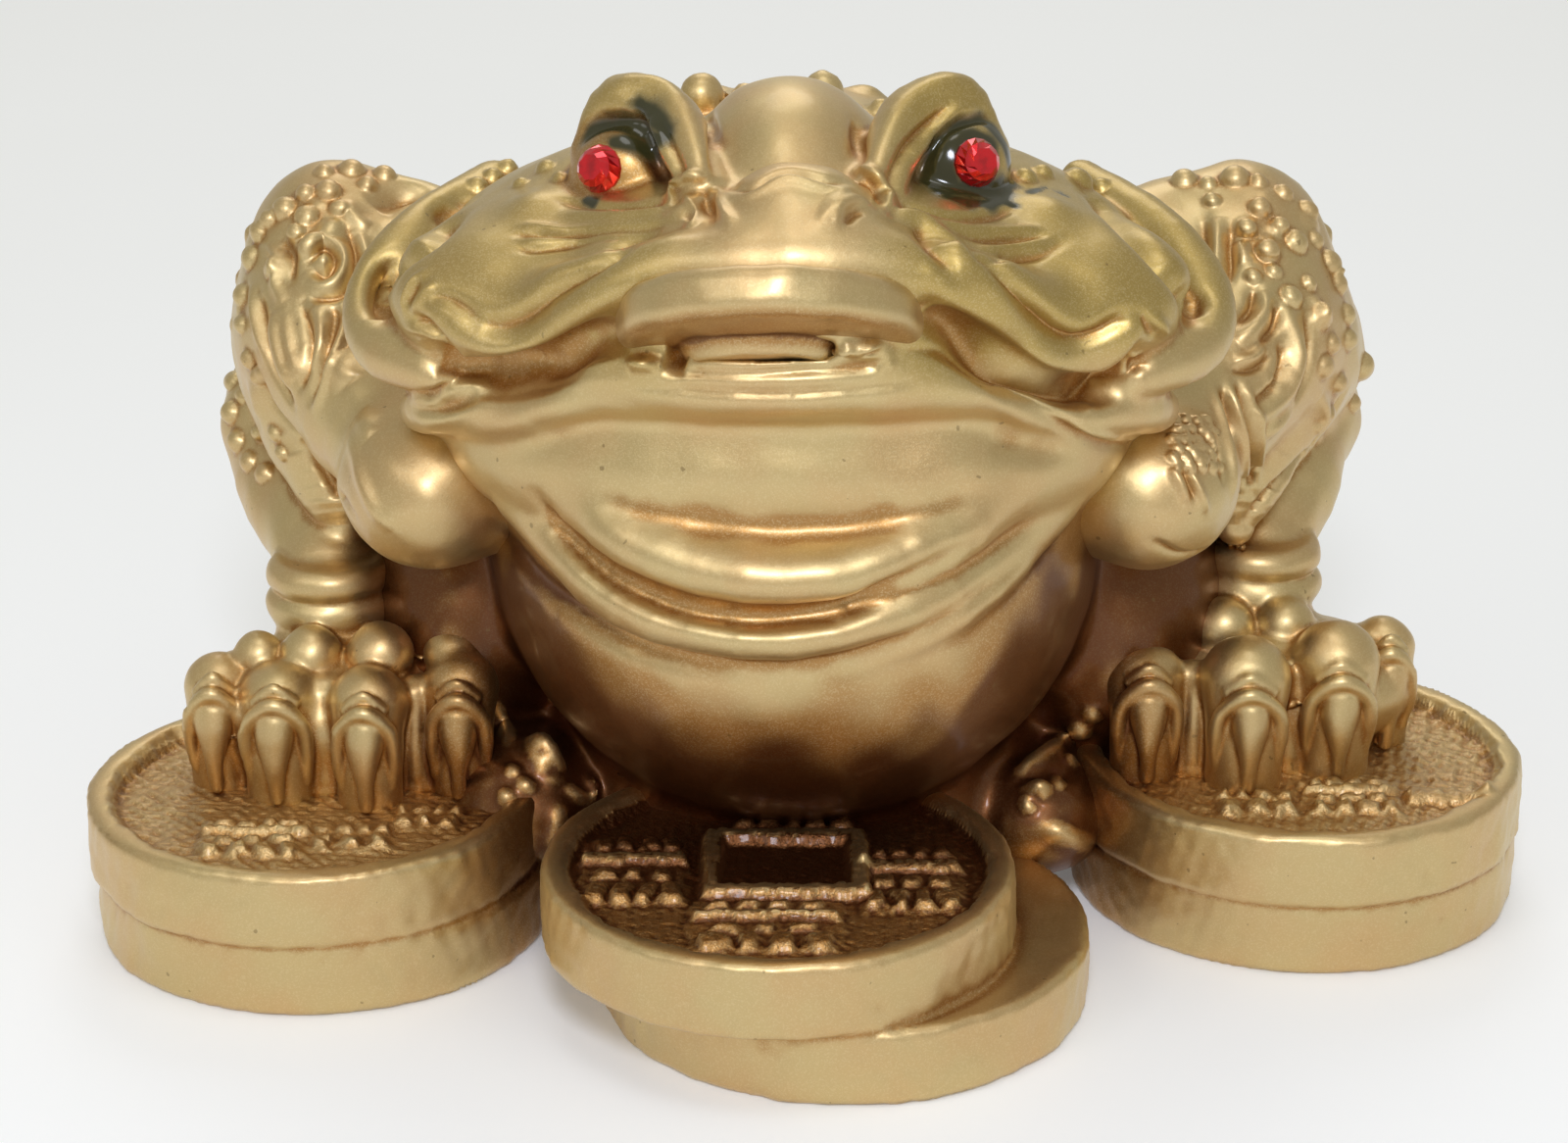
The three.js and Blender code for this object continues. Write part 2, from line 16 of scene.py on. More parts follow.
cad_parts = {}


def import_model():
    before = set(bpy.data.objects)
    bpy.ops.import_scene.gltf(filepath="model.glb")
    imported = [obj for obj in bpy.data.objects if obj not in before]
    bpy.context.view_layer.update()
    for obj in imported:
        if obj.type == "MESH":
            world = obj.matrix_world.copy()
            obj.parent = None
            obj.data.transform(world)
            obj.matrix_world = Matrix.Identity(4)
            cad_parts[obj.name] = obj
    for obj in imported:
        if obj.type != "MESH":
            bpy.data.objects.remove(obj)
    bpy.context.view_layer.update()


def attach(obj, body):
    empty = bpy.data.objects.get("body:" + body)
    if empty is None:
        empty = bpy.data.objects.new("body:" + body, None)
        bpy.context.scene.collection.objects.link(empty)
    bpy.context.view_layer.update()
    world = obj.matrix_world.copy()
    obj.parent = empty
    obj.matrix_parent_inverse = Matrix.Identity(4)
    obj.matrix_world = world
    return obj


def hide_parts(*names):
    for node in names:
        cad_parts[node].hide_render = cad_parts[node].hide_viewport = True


LOG = logging.getLogger("toad")

MM = 0.001
Triple = tuple[float, float, float]
Quad = tuple[float, float, float, float]
Pixel = tuple[float, float]

# The toad's own frame in the part's frame, in millimetres: its axis, and the top of its coins.
FORM_ORIGIN = np.array([-2.1, -4.1, 13.3])


# Modelling tools


def curve_through(points: Sequence[Sequence[float]], steps: int) -> np.ndarray:
    """Sample a smooth curve that goes through all its points.

    Args:
        points: The points, each with any count of values.
        steps: Samples between two points.

    Returns:
        The samples, one to a row.
    """
    given = np.array(points, float)
    if len(given) == 2:
        share = np.linspace(0, 1, steps + 1)[:, None]
        return given[0] * (1 - share) + given[1] * share
    knots = np.vstack([2 * given[0] - given[1], given, 2 * given[-1] - given[-2]])
    rows = []
    for i in range(1, len(knots) - 2):
        a, b, c, d = knots[i - 1 : i + 3]
        for t in np.arange(steps) / steps:
            rows.append(
                0.5
                * (
                    2 * b
                    + (c - a) * t
                    + (2 * a - 5 * b + 4 * c - d) * t**2
                    + (3 * b - a - 3 * c + d) * t**3
                )
            )
    rows.append(given[-1])
    return np.array(rows)


def to_segments(
    points: np.ndarray, path: np.ndarray, longest: float = 1e9
) -> tuple[np.ndarray, np.ndarray, np.ndarray]:
    """Find the nearest place of a path for each point.

    Args:
        points: Places, one to a row.
        path: The path's corners, one to a row.
        longest: Stretches longer than this are jumps, and don't count.

    Returns:
        For each point its distance, the index of the nearest stretch and the share along it.
    """
    start, run = path[:-1, :3], np.diff(path[:, :3], axis=0)
    length = np.maximum((run**2).sum(1), 1e-9)
    best = np.full(len(points), 1e9)
    stretch = np.zeros(len(points), int)
    share = np.zeros(len(points))
    for i in np.flatnonzero(length < longest**2):
        away = points - start[i]
        t = np.clip(away @ run[i] / length[i], 0, 1)
        gap = np.linalg.norm(away - t[:, None] * run[i], axis=1)
        nearer = gap < best
        best[nearer], stretch[nearer], share[nearer] = gap[nearer], i, t[nearer]
    return best, stretch, share


class Form(Protocol):
    """A simple mass that the sculpting blends with others."""

    blend: float
    cut: bool

    def distance(self, points: np.ndarray) -> np.ndarray:
        """Return how far each point lies outside the mass."""

    def bound(self) -> tuple[np.ndarray, float]:
        """Return the centre and radius of a sphere around the mass."""

    def beads(self) -> list[np.ndarray]:
        """Return 4 by 3 matrices that make the mass from unit spheres."""


def heading(bearing: float, height: float) -> np.ndarray:
    """Return a direction from its angles in degrees, to the right of forwards and over the level."""
    a, b = math.radians(bearing), math.radians(height)
    return np.array([math.sin(a) * math.cos(b), -math.cos(a) * math.cos(b), math.sin(b)])


def about_x(degrees: float) -> np.ndarray:
    """Return the matrix of a turn about X."""
    a = math.radians(degrees)
    return np.array([[1, 0, 0], [0, math.cos(a), -math.sin(a)], [0, math.sin(a), math.cos(a)]])


@dataclass(frozen=True)
class Ball:
    """An egg-shaped mass, tipped about X and then turned about Z."""

    centre: Triple
    radii: Triple
    tip: float = 0.0
    turn: float = 0.0
    blend: float = 2.0
    cut: bool = False

    def axes(self) -> np.ndarray:
        """Work out the mass's own axes.

        Returns:
            The axes, one to a row.
        """
        b = math.radians(self.turn)
        turn = np.array([[math.cos(b), -math.sin(b), 0], [math.sin(b), math.cos(b), 0], [0, 0, 1]])
        return (turn @ about_x(self.tip)).T

    def distance(self, points: np.ndarray) -> np.ndarray:
        """Measure how far each point lies outside the mass.

        Args:
            points: Places in millimetres, one to a row.

        Returns:
            One distance for each point, negative inside.
        """
        local = (points - self.centre) @ self.axes().T
        radii = np.array(self.radii)
        near = np.linalg.norm(local / radii, axis=1)
        slope = np.linalg.norm(local / radii**2, axis=1)
        return near * (near - 1) / np.maximum(slope, 1e-6)

    def bound(self) -> tuple[np.ndarray, float]:
        """Return the centre and radius of a sphere around the mass."""
        return np.array(self.centre), max(self.radii)

    def beads(self) -> list[np.ndarray]:
        """Return the one matrix that makes the mass from a unit sphere."""
        return [np.vstack([self.axes() * np.array(self.radii)[:, None], self.centre])]


@dataclass(frozen=True)
class Roll:
    """A round-ended roll along a smooth line of points with a radius each."""

    points: tuple[Quad, ...]
    blend: float = 1.0
    cut: bool = False
    steps: int = 4

    BEAD_STEPS = 8
    LEAST_BEAD = 0.2

    def path(self) -> np.ndarray:
        """Return the roll's samples, with the radius last."""
        return curve_through(self.points, self.steps)

    def distance(self, points: np.ndarray) -> np.ndarray:
        """Measure how far each point lies outside the roll.

        Args:
            points: Places in millimetres, one to a row.

        Returns:
            One distance for each point, negative inside.
        """
        path = self.path()
        gap, stretch, share = to_segments(points, path)
        radius = path[stretch, 3] * (1 - share) + path[stretch + 1, 3] * share
        return gap - radius

    def bound(self) -> tuple[np.ndarray, float]:
        """Find a sphere around the roll.

        Returns:
            Its centre and its radius.
        """
        path = self.path()
        middle = path[:, :3].mean(0)
        return middle, float((np.linalg.norm(path[:, :3] - middle, axis=1) + path[:, 3]).max())

    def beads(self) -> list[np.ndarray]:
        """Return matrices that string unit spheres along the roll."""
        rows = curve_through(self.points, self.BEAD_STEPS)
        return [np.vstack([np.eye(3) * max(row[3], self.LEAST_BEAD), row[:3]]) for row in rows]


@dataclass(frozen=True)
class Disc:
    """A flat coin with rounded edges, upright on Z."""

    centre: Triple
    radius: float
    half: float
    edge: float
    blend: float = 0.5
    cut: bool = False

    def distance(self, points: np.ndarray) -> np.ndarray:
        """Measure how far each point lies outside the coin.

        Args:
            points: Places in millimetres, one to a row.

        Returns:
            One distance for each point, negative inside.
        """
        local = points - self.centre
        out = np.linalg.norm(local[:, :2], axis=1) - (self.radius - self.edge)
        up = np.abs(local[:, 2]) - (self.half - self.edge)
        outside = np.hypot(np.maximum(out, 0), np.maximum(up, 0))
        return outside + np.minimum(np.maximum(out, up), 0) - self.edge

    def bound(self) -> tuple[np.ndarray, float]:
        """Return the centre and radius of a sphere around the coin."""
        return np.array(self.centre), math.hypot(self.radius, self.half)

    def beads(self) -> list[np.ndarray]:
        """Return the one matrix that makes a rough coin from a unit sphere."""
        return [np.vstack([np.diag((self.radius, self.radius, self.half)), self.centre])]


def mirrored(points: Sequence[Quad]) -> tuple[Quad, ...]:
    """Return the same points on the other side of the toad's axis."""
    return tuple((-p[0], *p[1:]) for p in points)


def whole_arc(half: Sequence[Quad]) -> tuple[Quad, ...]:
    """Return an arc from one side to the other, from its half that ends on the axis."""
    return tuple(half) + tuple(reversed(mirrored(half[:-1])))


def both(points: Sequence[Quad], blend: float = 1.0) -> list[Form]:
    """Return a roll and its mirror image."""
    return [Roll(tuple(points), blend), Roll(mirrored(points), blend)]


class Field:
    """The smooth union of many forms, less what the cuts take away."""

    MARGIN = 5.0
    FAR = 50.0

    def __init__(self, forms: Sequence[Form]) -> None:
        """Keep the forms, solids first and cuts last."""
        self.forms = [f for f in forms if not f.cut] + [f for f in forms if f.cut]

    def distance(self, points: np.ndarray) -> np.ndarray:
        """Return how far each point lies outside the whole.

        Args:
            points: Places in millimetres, one to a row.

        Returns:
            One distance for each point, negative inside.
        """
        whole = np.full(len(points), self.FAR)
        for form in self.forms:
            centre, radius = form.bound()
            near = np.flatnonzero(((points - centre) ** 2).sum(1) < (radius + self.MARGIN) ** 2)
            if not len(near):
                continue
            own = form.distance(points[near])
            if form.cut:
                whole[near] = -smooth_least(-whole[near], own, form.blend)
            else:
                whole[near] = smooth_least(whole[near], own, form.blend)
        return whole


def smooth_least(a: np.ndarray, b: np.ndarray, blend: float) -> np.ndarray:
    """Return the lesser of two distances, rounded where they meet."""
    share = np.clip(0.5 + 0.5 * (b - a) / blend, 0, 1)
    return b * (1 - share) + a * share - blend * share * (1 - share)


def ramp(values: np.ndarray, low: float | np.ndarray, high: float | np.ndarray) -> np.ndarray:
    """Return 0 at low and 1 at high, in a straight line between them."""
    return np.clip((values - low) / (high - low), 0, 1)


def soft_step(value: np.ndarray, soft: float = 0.35) -> np.ndarray:
    """Return 0 below and 1 above, softly."""
    t = np.clip(value / soft * 0.5 + 0.5, 0, 1)
    return t * t * (3 - 2 * t)


class Ripple:
    """Smooth irregular values in space, from seeded waves."""

    def __init__(self, seed: int, size: float, waves: int = 14) -> None:
        """Draw the waves.

        Args:
            seed: The seed of the draw.
            size: Rough length of a wave in millimetres.
            waves: How many waves are summed.
        """
        draw = np.random.default_rng(seed)
        ways = draw.normal(size=(waves, 3))
        ways /= np.linalg.norm(ways, axis=1)[:, None]
        self.waves = ways * (2 * math.pi / size) * draw.uniform(0.6, 1.7, (waves, 1))
        self.phase = draw.uniform(0, 2 * math.pi, waves)

    def at(self, points: np.ndarray) -> np.ndarray:
        """Return a value of about -1 to 1 for each point."""
        total = np.sin(points @ self.waves.T + self.phase).sum(1)
        return total / math.sqrt(len(self.phase) * 0.7)


@dataclass(frozen=True)
class PhotoCamera:
    """The camera that the photograph was taken with, in the toad's frame."""

    place: Triple = (-0.4, -290.0, 125.7)
    pitch: float = 20.94
    focal: float = 3500.0
    middle: Pixel = (800.0, 583.0)

    def ray(self, pixel: Pixel) -> np.ndarray:
        """Return the direction in which a pixel of the 1600 by 1166 frame looks.

        Args:
            pixel: The place in the frame, across and down.

        Returns:
            A direction of length 1.
        """
        u = (pixel[0] - self.middle[0]) / self.focal
        v = (self.middle[1] - pixel[1]) / self.focal
        tilt = math.radians(self.pitch)
        way = np.array([u, math.cos(tilt) + math.sin(tilt) * v, -math.sin(tilt) + math.cos(tilt) * v])
        return way / np.linalg.norm(way)

    def pixels(self, points: np.ndarray) -> np.ndarray:
        """Return the pixels at which points are seen.

        Args:
            points: Places in millimetres, one to a row.

        Returns:
            Across and down, one pixel to a row.
        """
        away = points - np.array(self.place)
        tilt = math.radians(self.pitch)
        depth = away[:, 1] * math.cos(tilt) - away[:, 2] * math.sin(tilt)
        up = away[:, 1] * math.sin(tilt) + away[:, 2] * math.cos(tilt)
        return np.stack(
            [
                self.middle[0] + self.focal * away[:, 0] / depth,
                self.middle[1] - self.focal * up / depth,
            ],
            axis=1,
        )


CAMERA = PhotoCamera()


@dataclass(frozen=True)
class Stroke:
    """One stroke of the modelling tool, drawn in pixels where the camera sees it.

    A height under 0 cuts a groove. A bead has a round top.
    """

    line: tuple[Pixel, ...]
    width: float
    height: float
    bead: bool = False
    ends: float = 0.5


@dataclass(frozen=True)
class Smear:
    """A brush mark of dark paint, drawn in pixels where the camera sees it."""

    line: tuple[Pixel, ...]
    width: float


def strokes(*rows: Sequence[float], bead: bool = False, ends: float = 0.5) -> tuple[Stroke, ...]:
    """Return strokes from flat rows.

    Args:
        rows: Width and height in millimetres, then the line's pixels, across and down in turn.
        bead: Whether the strokes have a round top.
        ends: How slowly they fade at their ends.

    Returns:
        One stroke for each row.
    """
    return tuple(Stroke(tuple(zip(r[2::2], r[3::2])), r[0], r[1], bead, ends) for r in rows)


def smears(*rows: Sequence[float]) -> tuple[Smear, ...]:
    """Return brush marks from rows of a width and then the line's pixels."""
    return tuple(Smear(tuple(zip(r[1::2], r[2::2])), r[0]) for r in rows)


def dots(spots: Sequence[Triple]) -> tuple[Stroke, ...]:
    """Return round bumps at pixels, each with its size in millimetres."""
    wide, high = 1.1, 0.85
    return tuple(
        Stroke(((x, y), (x + 1, y + 1)), wide * size, high * size, bead=True, ends=0.0)
        for x, y, size in spots
    )


def read_out(
    items: bpy.types.bpy_prop_collection, name: str, wide: int, kind: type = float
) -> np.ndarray:
    """Read one property of all items of a mesh.

    Args:
        items: The vertices, edges, corners or faces.
        name: The property.
        wide: How many values each item has.
        kind: Their type.

    Returns:
        The values, one item to a row.
    """
    values = np.zeros(len(items) * wide, kind)
    items.foreach_get(name, values)
    return values.reshape(-1, wide)


def select_none() -> None:
    """Deselect every object."""
    if bpy.context.object and bpy.context.object.mode != "OBJECT":
        bpy.ops.object.mode_set(mode="OBJECT")
    bpy.ops.object.select_all(action="DESELECT")


def activate(piece: bpy.types.Object) -> None:
    """Make one object the only selected and the active one.

    Args:
        piece: The object.
    """
    select_none()
    piece.select_set(True)
    bpy.context.view_layer.objects.active = piece


def bead_blank(name: str, forms: Sequence[Form]) -> bpy.types.Object:
    """Make a rough blank from copies of one sphere, a string of them for each roll.

    Args:
        name: The name of the new object.
        forms: The masses of the blank.

    Returns:
        The blank, in millimetres.
    """
    select_none()
    bpy.ops.mesh.primitive_ico_sphere_add(subdivisions=3, radius=1.0)
    piece = bpy.context.object
    piece.name = name
    mesh = piece.data
    unit = read_out(mesh.vertices, "co", 3)
    faces = read_out(mesh.polygons, "vertices", 3, int)
    beads = [bead for form in forms if not form.cut for bead in form.beads()]
    places = np.vstack([unit @ bead[:3] + bead[3] for bead in beads])
    corners = np.vstack([faces + i * len(unit) for i in range(len(beads))])
    mesh.clear_geometry()
    mesh.from_pydata(places.tolist(), [], corners.tolist())
    mesh.update()
    return piece


def remeshed(piece: bpy.types.Object, size: float) -> None:
    """Merge a blank into one skin of even faces.

    Args:
        piece: The blank.
        size: The side of a face in millimetres.
    """
    activate(piece)
    skin = piece.modifiers.new("one_skin", "REMESH")
    skin.mode = "VOXEL"
    skin.voxel_size = size
    skin.adaptivity = 0.0
    bpy.ops.object.modifier_apply(modifier=skin.name)


def thinned(piece: bpy.types.Object, most: int) -> None:
    """Merge the flattest triangles of a piece that has too many.

    Args:
        piece: The piece, in millimetres.
        most: The most triangles that it may have.
    """
    mesh = piece.data
    count = len(mesh.loops) - 2 * len(mesh.polygons)
    if count > most:
        activate(piece)
        thin = piece.modifiers.new("thin", "DECIMATE")
        thin.ratio = most / count
        bpy.ops.object.modifier_apply(modifier=thin.name)


class Skin:
    """A mesh whose vertices are moved in code, as a sculptor moves clay."""

    MOST_TRIANGLES = 190_000
    LONGEST_STEP = 1.2
    STEP_SHARE = 0.9
    STROKE_REACH = 2.4
    LONGEST_STRETCH = 3.0
    STROKE_ENDS = (0.015, 0.985)
    BEAD_POWER = 0.6

    def __init__(self, piece: bpy.types.Object) -> None:
        """Read the mesh of the piece."""
        self.piece = piece
        self.read()

    def read(self) -> None:
        """Read places and edges from the mesh."""
        mesh = self.piece.data
        self.places = read_out(mesh.vertices, "co", 3)
        self.edges = read_out(mesh.edges, "vertices", 2, int)
        self.count = np.bincount(self.edges.ravel(), minlength=len(self.places))

    def write(self) -> None:
        """Write the places to the mesh."""
        mesh = self.piece.data
        mesh.vertices.foreach_set("co", self.places.ravel())
        mesh.update()

    def normals(self) -> np.ndarray:
        """Return the outward direction at each vertex."""
        self.write()
        return read_out(self.piece.data.vertex_normals, "vector", 3)

    def spread(self, values: np.ndarray) -> np.ndarray:
        """Return the mean of each vertex's neighbours.

        Args:
            values: The values of each vertex, one vertex to a row.

        Returns:
            The means, one vertex to a row.
        """
        a, b = self.edges.T
        total = np.stack(
            [
                np.bincount(a, values[b, i], len(values))
                + np.bincount(b, values[a, i], len(values))
                for i in range(values.shape[1])
            ],
            axis=1,
        )
        return total / np.maximum(self.count, 1)[:, None]

    def relax(self, times: int, along_only: bool = True) -> None:
        """Even out the faces.

        Args:
            times: How often.
            along_only: Whether vertices slide along the surface and keep its form.
        """
        for _ in range(times):
            step = 0.5 * (self.spread(self.places) - self.places)
            if along_only:
                out = self.normals()
                step -= (step * out).sum(1)[:, None] * out
            self.places += step

    def settle(self, field: Field, times: int = 4) -> None:
        """Bring every vertex on to the surface of a field."""
        for _ in range(times):
            out = self.normals()
            gap = np.clip(field.distance(self.places), -self.LONGEST_STEP, self.LONGEST_STEP)
            self.places -= self.STEP_SHARE * gap[:, None] * out

    def fit(self, field: Field, last: int) -> None:
        """Bring a blank on to a field and even out its faces.

        Args:
            field: The field.
            last: How often the vertices settle at the end.
        """
        self.settle(field, 3)
        self.relax(2)
        self.settle(field, last)

    def ripple(self, seed: int, size: float, height: float = 0.05) -> None:
        """Make the surface uneven.

        Args:
            seed: The seed of the waves.
            size: Their rough length in millimetres.
            height: Their rough height.
        """
        self.places += (height * Ripple(seed, size).at(self.places))[:, None] * self.normals()

    def refine(self, chosen: np.ndarray) -> None:
        """Split the faces whose vertices are all chosen.

        Args:
            chosen: One truth value for each vertex.
        """
        self.write()
        activate(self.piece)
        mesh = self.piece.data
        for items in (mesh.polygons, mesh.edges, mesh.vertices):
            items.foreach_set("select", np.zeros(len(items), bool))
        corners = read_out(mesh.loops, "vertex_index", 1, int).ravel()
        starts = read_out(mesh.polygons, "loop_start", 1, int).ravel()
        every = np.minimum.reduceat(chosen[corners].astype(int), starts).astype(bool)
        mesh.polygons.foreach_set("select", every)
        bpy.ops.object.mode_set(mode="EDIT")
        bpy.ops.mesh.select_mode(type="FACE")
        bpy.ops.mesh.subdivide(number_cuts=1, ngon=False)
        bpy.ops.object.mode_set(mode="OBJECT")
        self.read()

    def seen(self, least: float = 0.0) -> np.ndarray:
        """Return which vertices face the camera.

        Args:
            least: The least share of the surface's direction that has to point to the camera.

        Returns:
            One truth value for each vertex.
        """
        to_camera = np.array(CAMERA.place) - self.places
        to_camera /= np.linalg.norm(to_camera, axis=1)[:, None]
        return (self.normals() * to_camera).sum(1) > least

    def in_frame(self, box: Quad) -> np.ndarray:
        """Return which vertices are seen inside a box of pixels.

        Args:
            box: The left, top, right and bottom of the box.

        Returns:
            One truth value for each vertex.
        """
        at = CAMERA.pixels(self.places)
        left, top, right, bottom = box
        return (at[:, 0] > left) & (at[:, 0] < right) & (at[:, 1] > top) & (at[:, 1] < bottom)

    def tree(self) -> BVHTree:
        """Build a search tree of the surface.

        Returns:
            The tree.
        """
        self.write()
        mesh = self.piece.data
        corners = [tuple(p.vertices) for p in mesh.polygons]
        return BVHTree.FromPolygons(self.places.tolist(), corners)

    def cast(self, tree: BVHTree, line: Sequence[Pixel], steps: int = 6) -> np.ndarray:
        """Throw a line of pixels on to the surface.

        Args:
            tree: The surface.
            line: The pixels.
            steps: Samples between two pixels.

        Returns:
            The places that were hit, one to a row.
        """
        hits = []
        for pixel in curve_through(line, steps):
            found = tree.ray_cast(Vector(CAMERA.place), Vector(CAMERA.ray(pixel)))[0]
            if found is not None:
                hits.append(np.array(found))
        return np.array(hits).reshape(-1, 3)

    def carve(self, strokes: Sequence[Stroke]) -> None:
        """Make strokes, all on the surface as it is now.

        Args:
            strokes: The strokes.
        """
        tree = self.tree()
        out = self.normals()
        change = np.zeros(len(self.places))
        for stroke in strokes:
            path = self.cast(tree, stroke.line)
            if len(path) < 2:
                LOG.warning("a stroke at %s misses the surface", stroke.line[0])
                continue
            reach = stroke.width * self.STROKE_REACH
            low, high = path.min(0) - reach, path.max(0) + reach
            near = np.flatnonzero(((self.places > low) & (self.places < high)).all(1))
            if not len(near):
                continue
            gap, stretch, share = to_segments(self.places[near], path, self.LONGEST_STRETCH)
            along = np.clip((stretch + share) / (len(path) - 1), *self.STROKE_ENDS)
            strength = stroke.height * np.clip(np.sin(math.pi * along), 0, 1) ** stroke.ends
            if stroke.bead:
                profile = np.clip(1 - (gap / stroke.width) ** 2, 0, 1) ** self.BEAD_POWER
            else:
                profile = np.exp(-((gap / stroke.width) ** 2))
            change[near] += strength * profile
        self.places += change[:, None] * out

    def hollow(self, times: int) -> np.ndarray:
        """Return how hollow the surface is at each vertex, in millimetres.

        Args:
            times: How often the smooth surface that it is set against is evened out.

        Returns:
            One depth for each vertex.
        """
        out = self.normals()
        soft = self.places
        for _ in range(times):
            soft = 0.5 * soft + 0.5 * self.spread(soft)
        return ((soft - self.places) * out).sum(1)

    def store(self, name: str, values: np.ndarray) -> None:
        """Keep one number for each vertex as an attribute of the mesh.

        Args:
            name: The attribute's name.
            values: The numbers.
        """
        mesh = self.piece.data
        layer = mesh.attributes.new(name, "FLOAT", "POINT")
        layer.data.foreach_set("value", np.ascontiguousarray(values, dtype=np.float32))

    def add_to(self, name: str, extra: np.ndarray) -> None:
        """Add to a number that is kept for each vertex.

        Args:
            name: The attribute's name.
            extra: What is added, for each vertex.
        """
        layer = self.piece.data.attributes[name]
        values = np.zeros(len(self.places), np.float32)
        layer.data.foreach_get("value", values)
        layer.data.foreach_set("value", (values + extra).astype(np.float32))

    def finish(self, origin: np.ndarray) -> bpy.types.Object:
        """Bring the piece to the part's frame in metres.

        Args:
            origin: Where the piece's own frame stands in the part's frame, in millimetres.

        Returns:
            The finished object.
        """
        self.write()
        thinned(self.piece, self.MOST_TRIANGLES)
        self.read()
        self.places = (self.places + origin) * MM
        self.write()
        mesh = self.piece.data
        mesh.polygons.foreach_set("use_smooth", np.ones(len(mesh.polygons), bool))
        mesh.update()
        LOG.info("%s: %d triangles", self.piece.name, len(mesh.loops) - 2 * len(mesh.polygons))
        return self.piece


# Shader tools


class Wire:
    """An output socket on which sums can be written."""

    def __init__(self, graph: Graph, socket: bpy.types.NodeSocket) -> None:
        """Keep the socket and its graph."""
        self.graph = graph
        self.socket = socket

    def _math(self, operation: str, first: object, second: object) -> Wire:
        """Return the result of a Math node."""
        return self.graph.add("ShaderNodeMath", {"operation": operation}, {0: first, 1: second})

    def __add__(self, other: object) -> Wire:
        """Return the sum."""
        return self._math("ADD", self, other)

    __radd__ = __add__

    def __sub__(self, other: object) -> Wire:
        """Return the difference."""
        return self._math("SUBTRACT", self, other)

    def __rsub__(self, other: object) -> Wire:
        """Return the difference the other way round."""
        return self._math("SUBTRACT", other, self)

    def __mul__(self, other: object) -> Wire:
        """Return the product."""
        return self._math("MULTIPLY", self, other)

    __rmul__ = __mul__

    def between(self, low: float, high: float) -> Wire:
        """Return 0 at low and 1 at high, smoothly between them."""
        return self.graph.add(
            "ShaderNodeMapRange",
            {"interpolation_type": "SMOOTHSTEP"},
            {0: self, 1: low, 2: high, 3: 0.0, 4: 1.0},
        )


class Graph:
    """The nodes of one material."""

    def __init__(self, name: str) -> None:
        """Make the material with its Principled shader.

        Args:
            name: The material's name.
        """
        self.material = bpy.data.materials.new(name)
        self.material.use_nodes = True
        self.tree = self.material.node_tree
        self.shader = self.tree.nodes["Principled BSDF"]

    def add(
        self,
        kind: str,
        settings: dict[str, object] | None = None,
        values: dict[object, object] | None = None,
        output: int | str = 0,
    ) -> Wire:
        """Add a node.

        Args:
            kind: The node's type.
            settings: Its properties, which are set first.
            values: Numbers, colours or wires for its inputs, by name or index.
            output: The output to return.

        Returns:
            That output as a wire.
        """
        node = self.tree.nodes.new(kind)
        for key, value in (settings or {}).items():
            setattr(node, key, value)
        for key, value in (values or {}).items():
            self.feed(node.inputs[key], value)
        return Wire(self, node.outputs[output])

    def feed(self, socket: bpy.types.NodeSocket, value: object) -> None:
        """Link a wire to a socket, or set its value.

        Args:
            socket: The input socket.
            value: A wire, or a plain value.
        """
        if isinstance(value, Wire):
            self.tree.links.new(value.socket, socket)
        else:
            socket.default_value = value

    def set(self, name: str, value: object) -> None:
        """Feed one socket of the shader."""
        self.feed(self.shader.inputs[name], value)

    def place(self) -> Wire:
        """Return Object coordinates."""
        return self.add("ShaderNodeTexCoord", output="Object")

    def attribute(self, name: str) -> Wire:
        """Return a number that the mesh keeps for each vertex."""
        return self.add("ShaderNodeAttribute", {"attribute_name": name}, output="Fac")

    def noise(self, per_mm: float, detail: float = 2.0, rough: float = 0.5) -> Wire:
        """Return noise with so many lumps to a millimetre.

        Args:
            per_mm: Lumps to a millimetre.
            detail: How many finer layers it has.
            rough: How strong each finer layer is.

        Returns:
            The noise, from 0 to 1.
        """
        values = {
            "Vector": self.place(),
            "Scale": per_mm / MM,
            "Detail": detail,
            "Roughness": rough,
        }
        return self.add("ShaderNodeTexNoise", None, values)

    def mix(self, share: object, first: object, second: object) -> Wire:
        """Return a mix of two colours.

        Args:
            share: The second colour's share.
            first: The first colour.
            second: The second colour.

        Returns:
            The mixed colour.
        """
        node = self.tree.nodes.new("ShaderNodeMix")
        node.data_type = "RGBA"
        self.feed(node.inputs[0], share)
        self.feed(node.inputs[6], first)
        self.feed(node.inputs[7], second)
        return Wire(self, node.outputs[2])

    def bump(self, height: Wire, depth_mm: float, under: Wire | None = None) -> Wire:
        """Return a normal with relief of a depth in millimetres.

        Args:
            height: The relief.
            depth_mm: Its depth.
            under: The normal that it is laid over.

        Returns:
            The new normal.
        """
        values: dict[object, object] = {"Strength": 1.0, "Distance": depth_mm * MM, "Height": height}
        if under is not None:
            values["Normal"] = under
        return self.add("ShaderNodeBump", None, values)


def rgb(red: float, green: float, blue: float) -> Quad:
    """Return an opaque colour."""
    return (red, green, blue, 1.0)


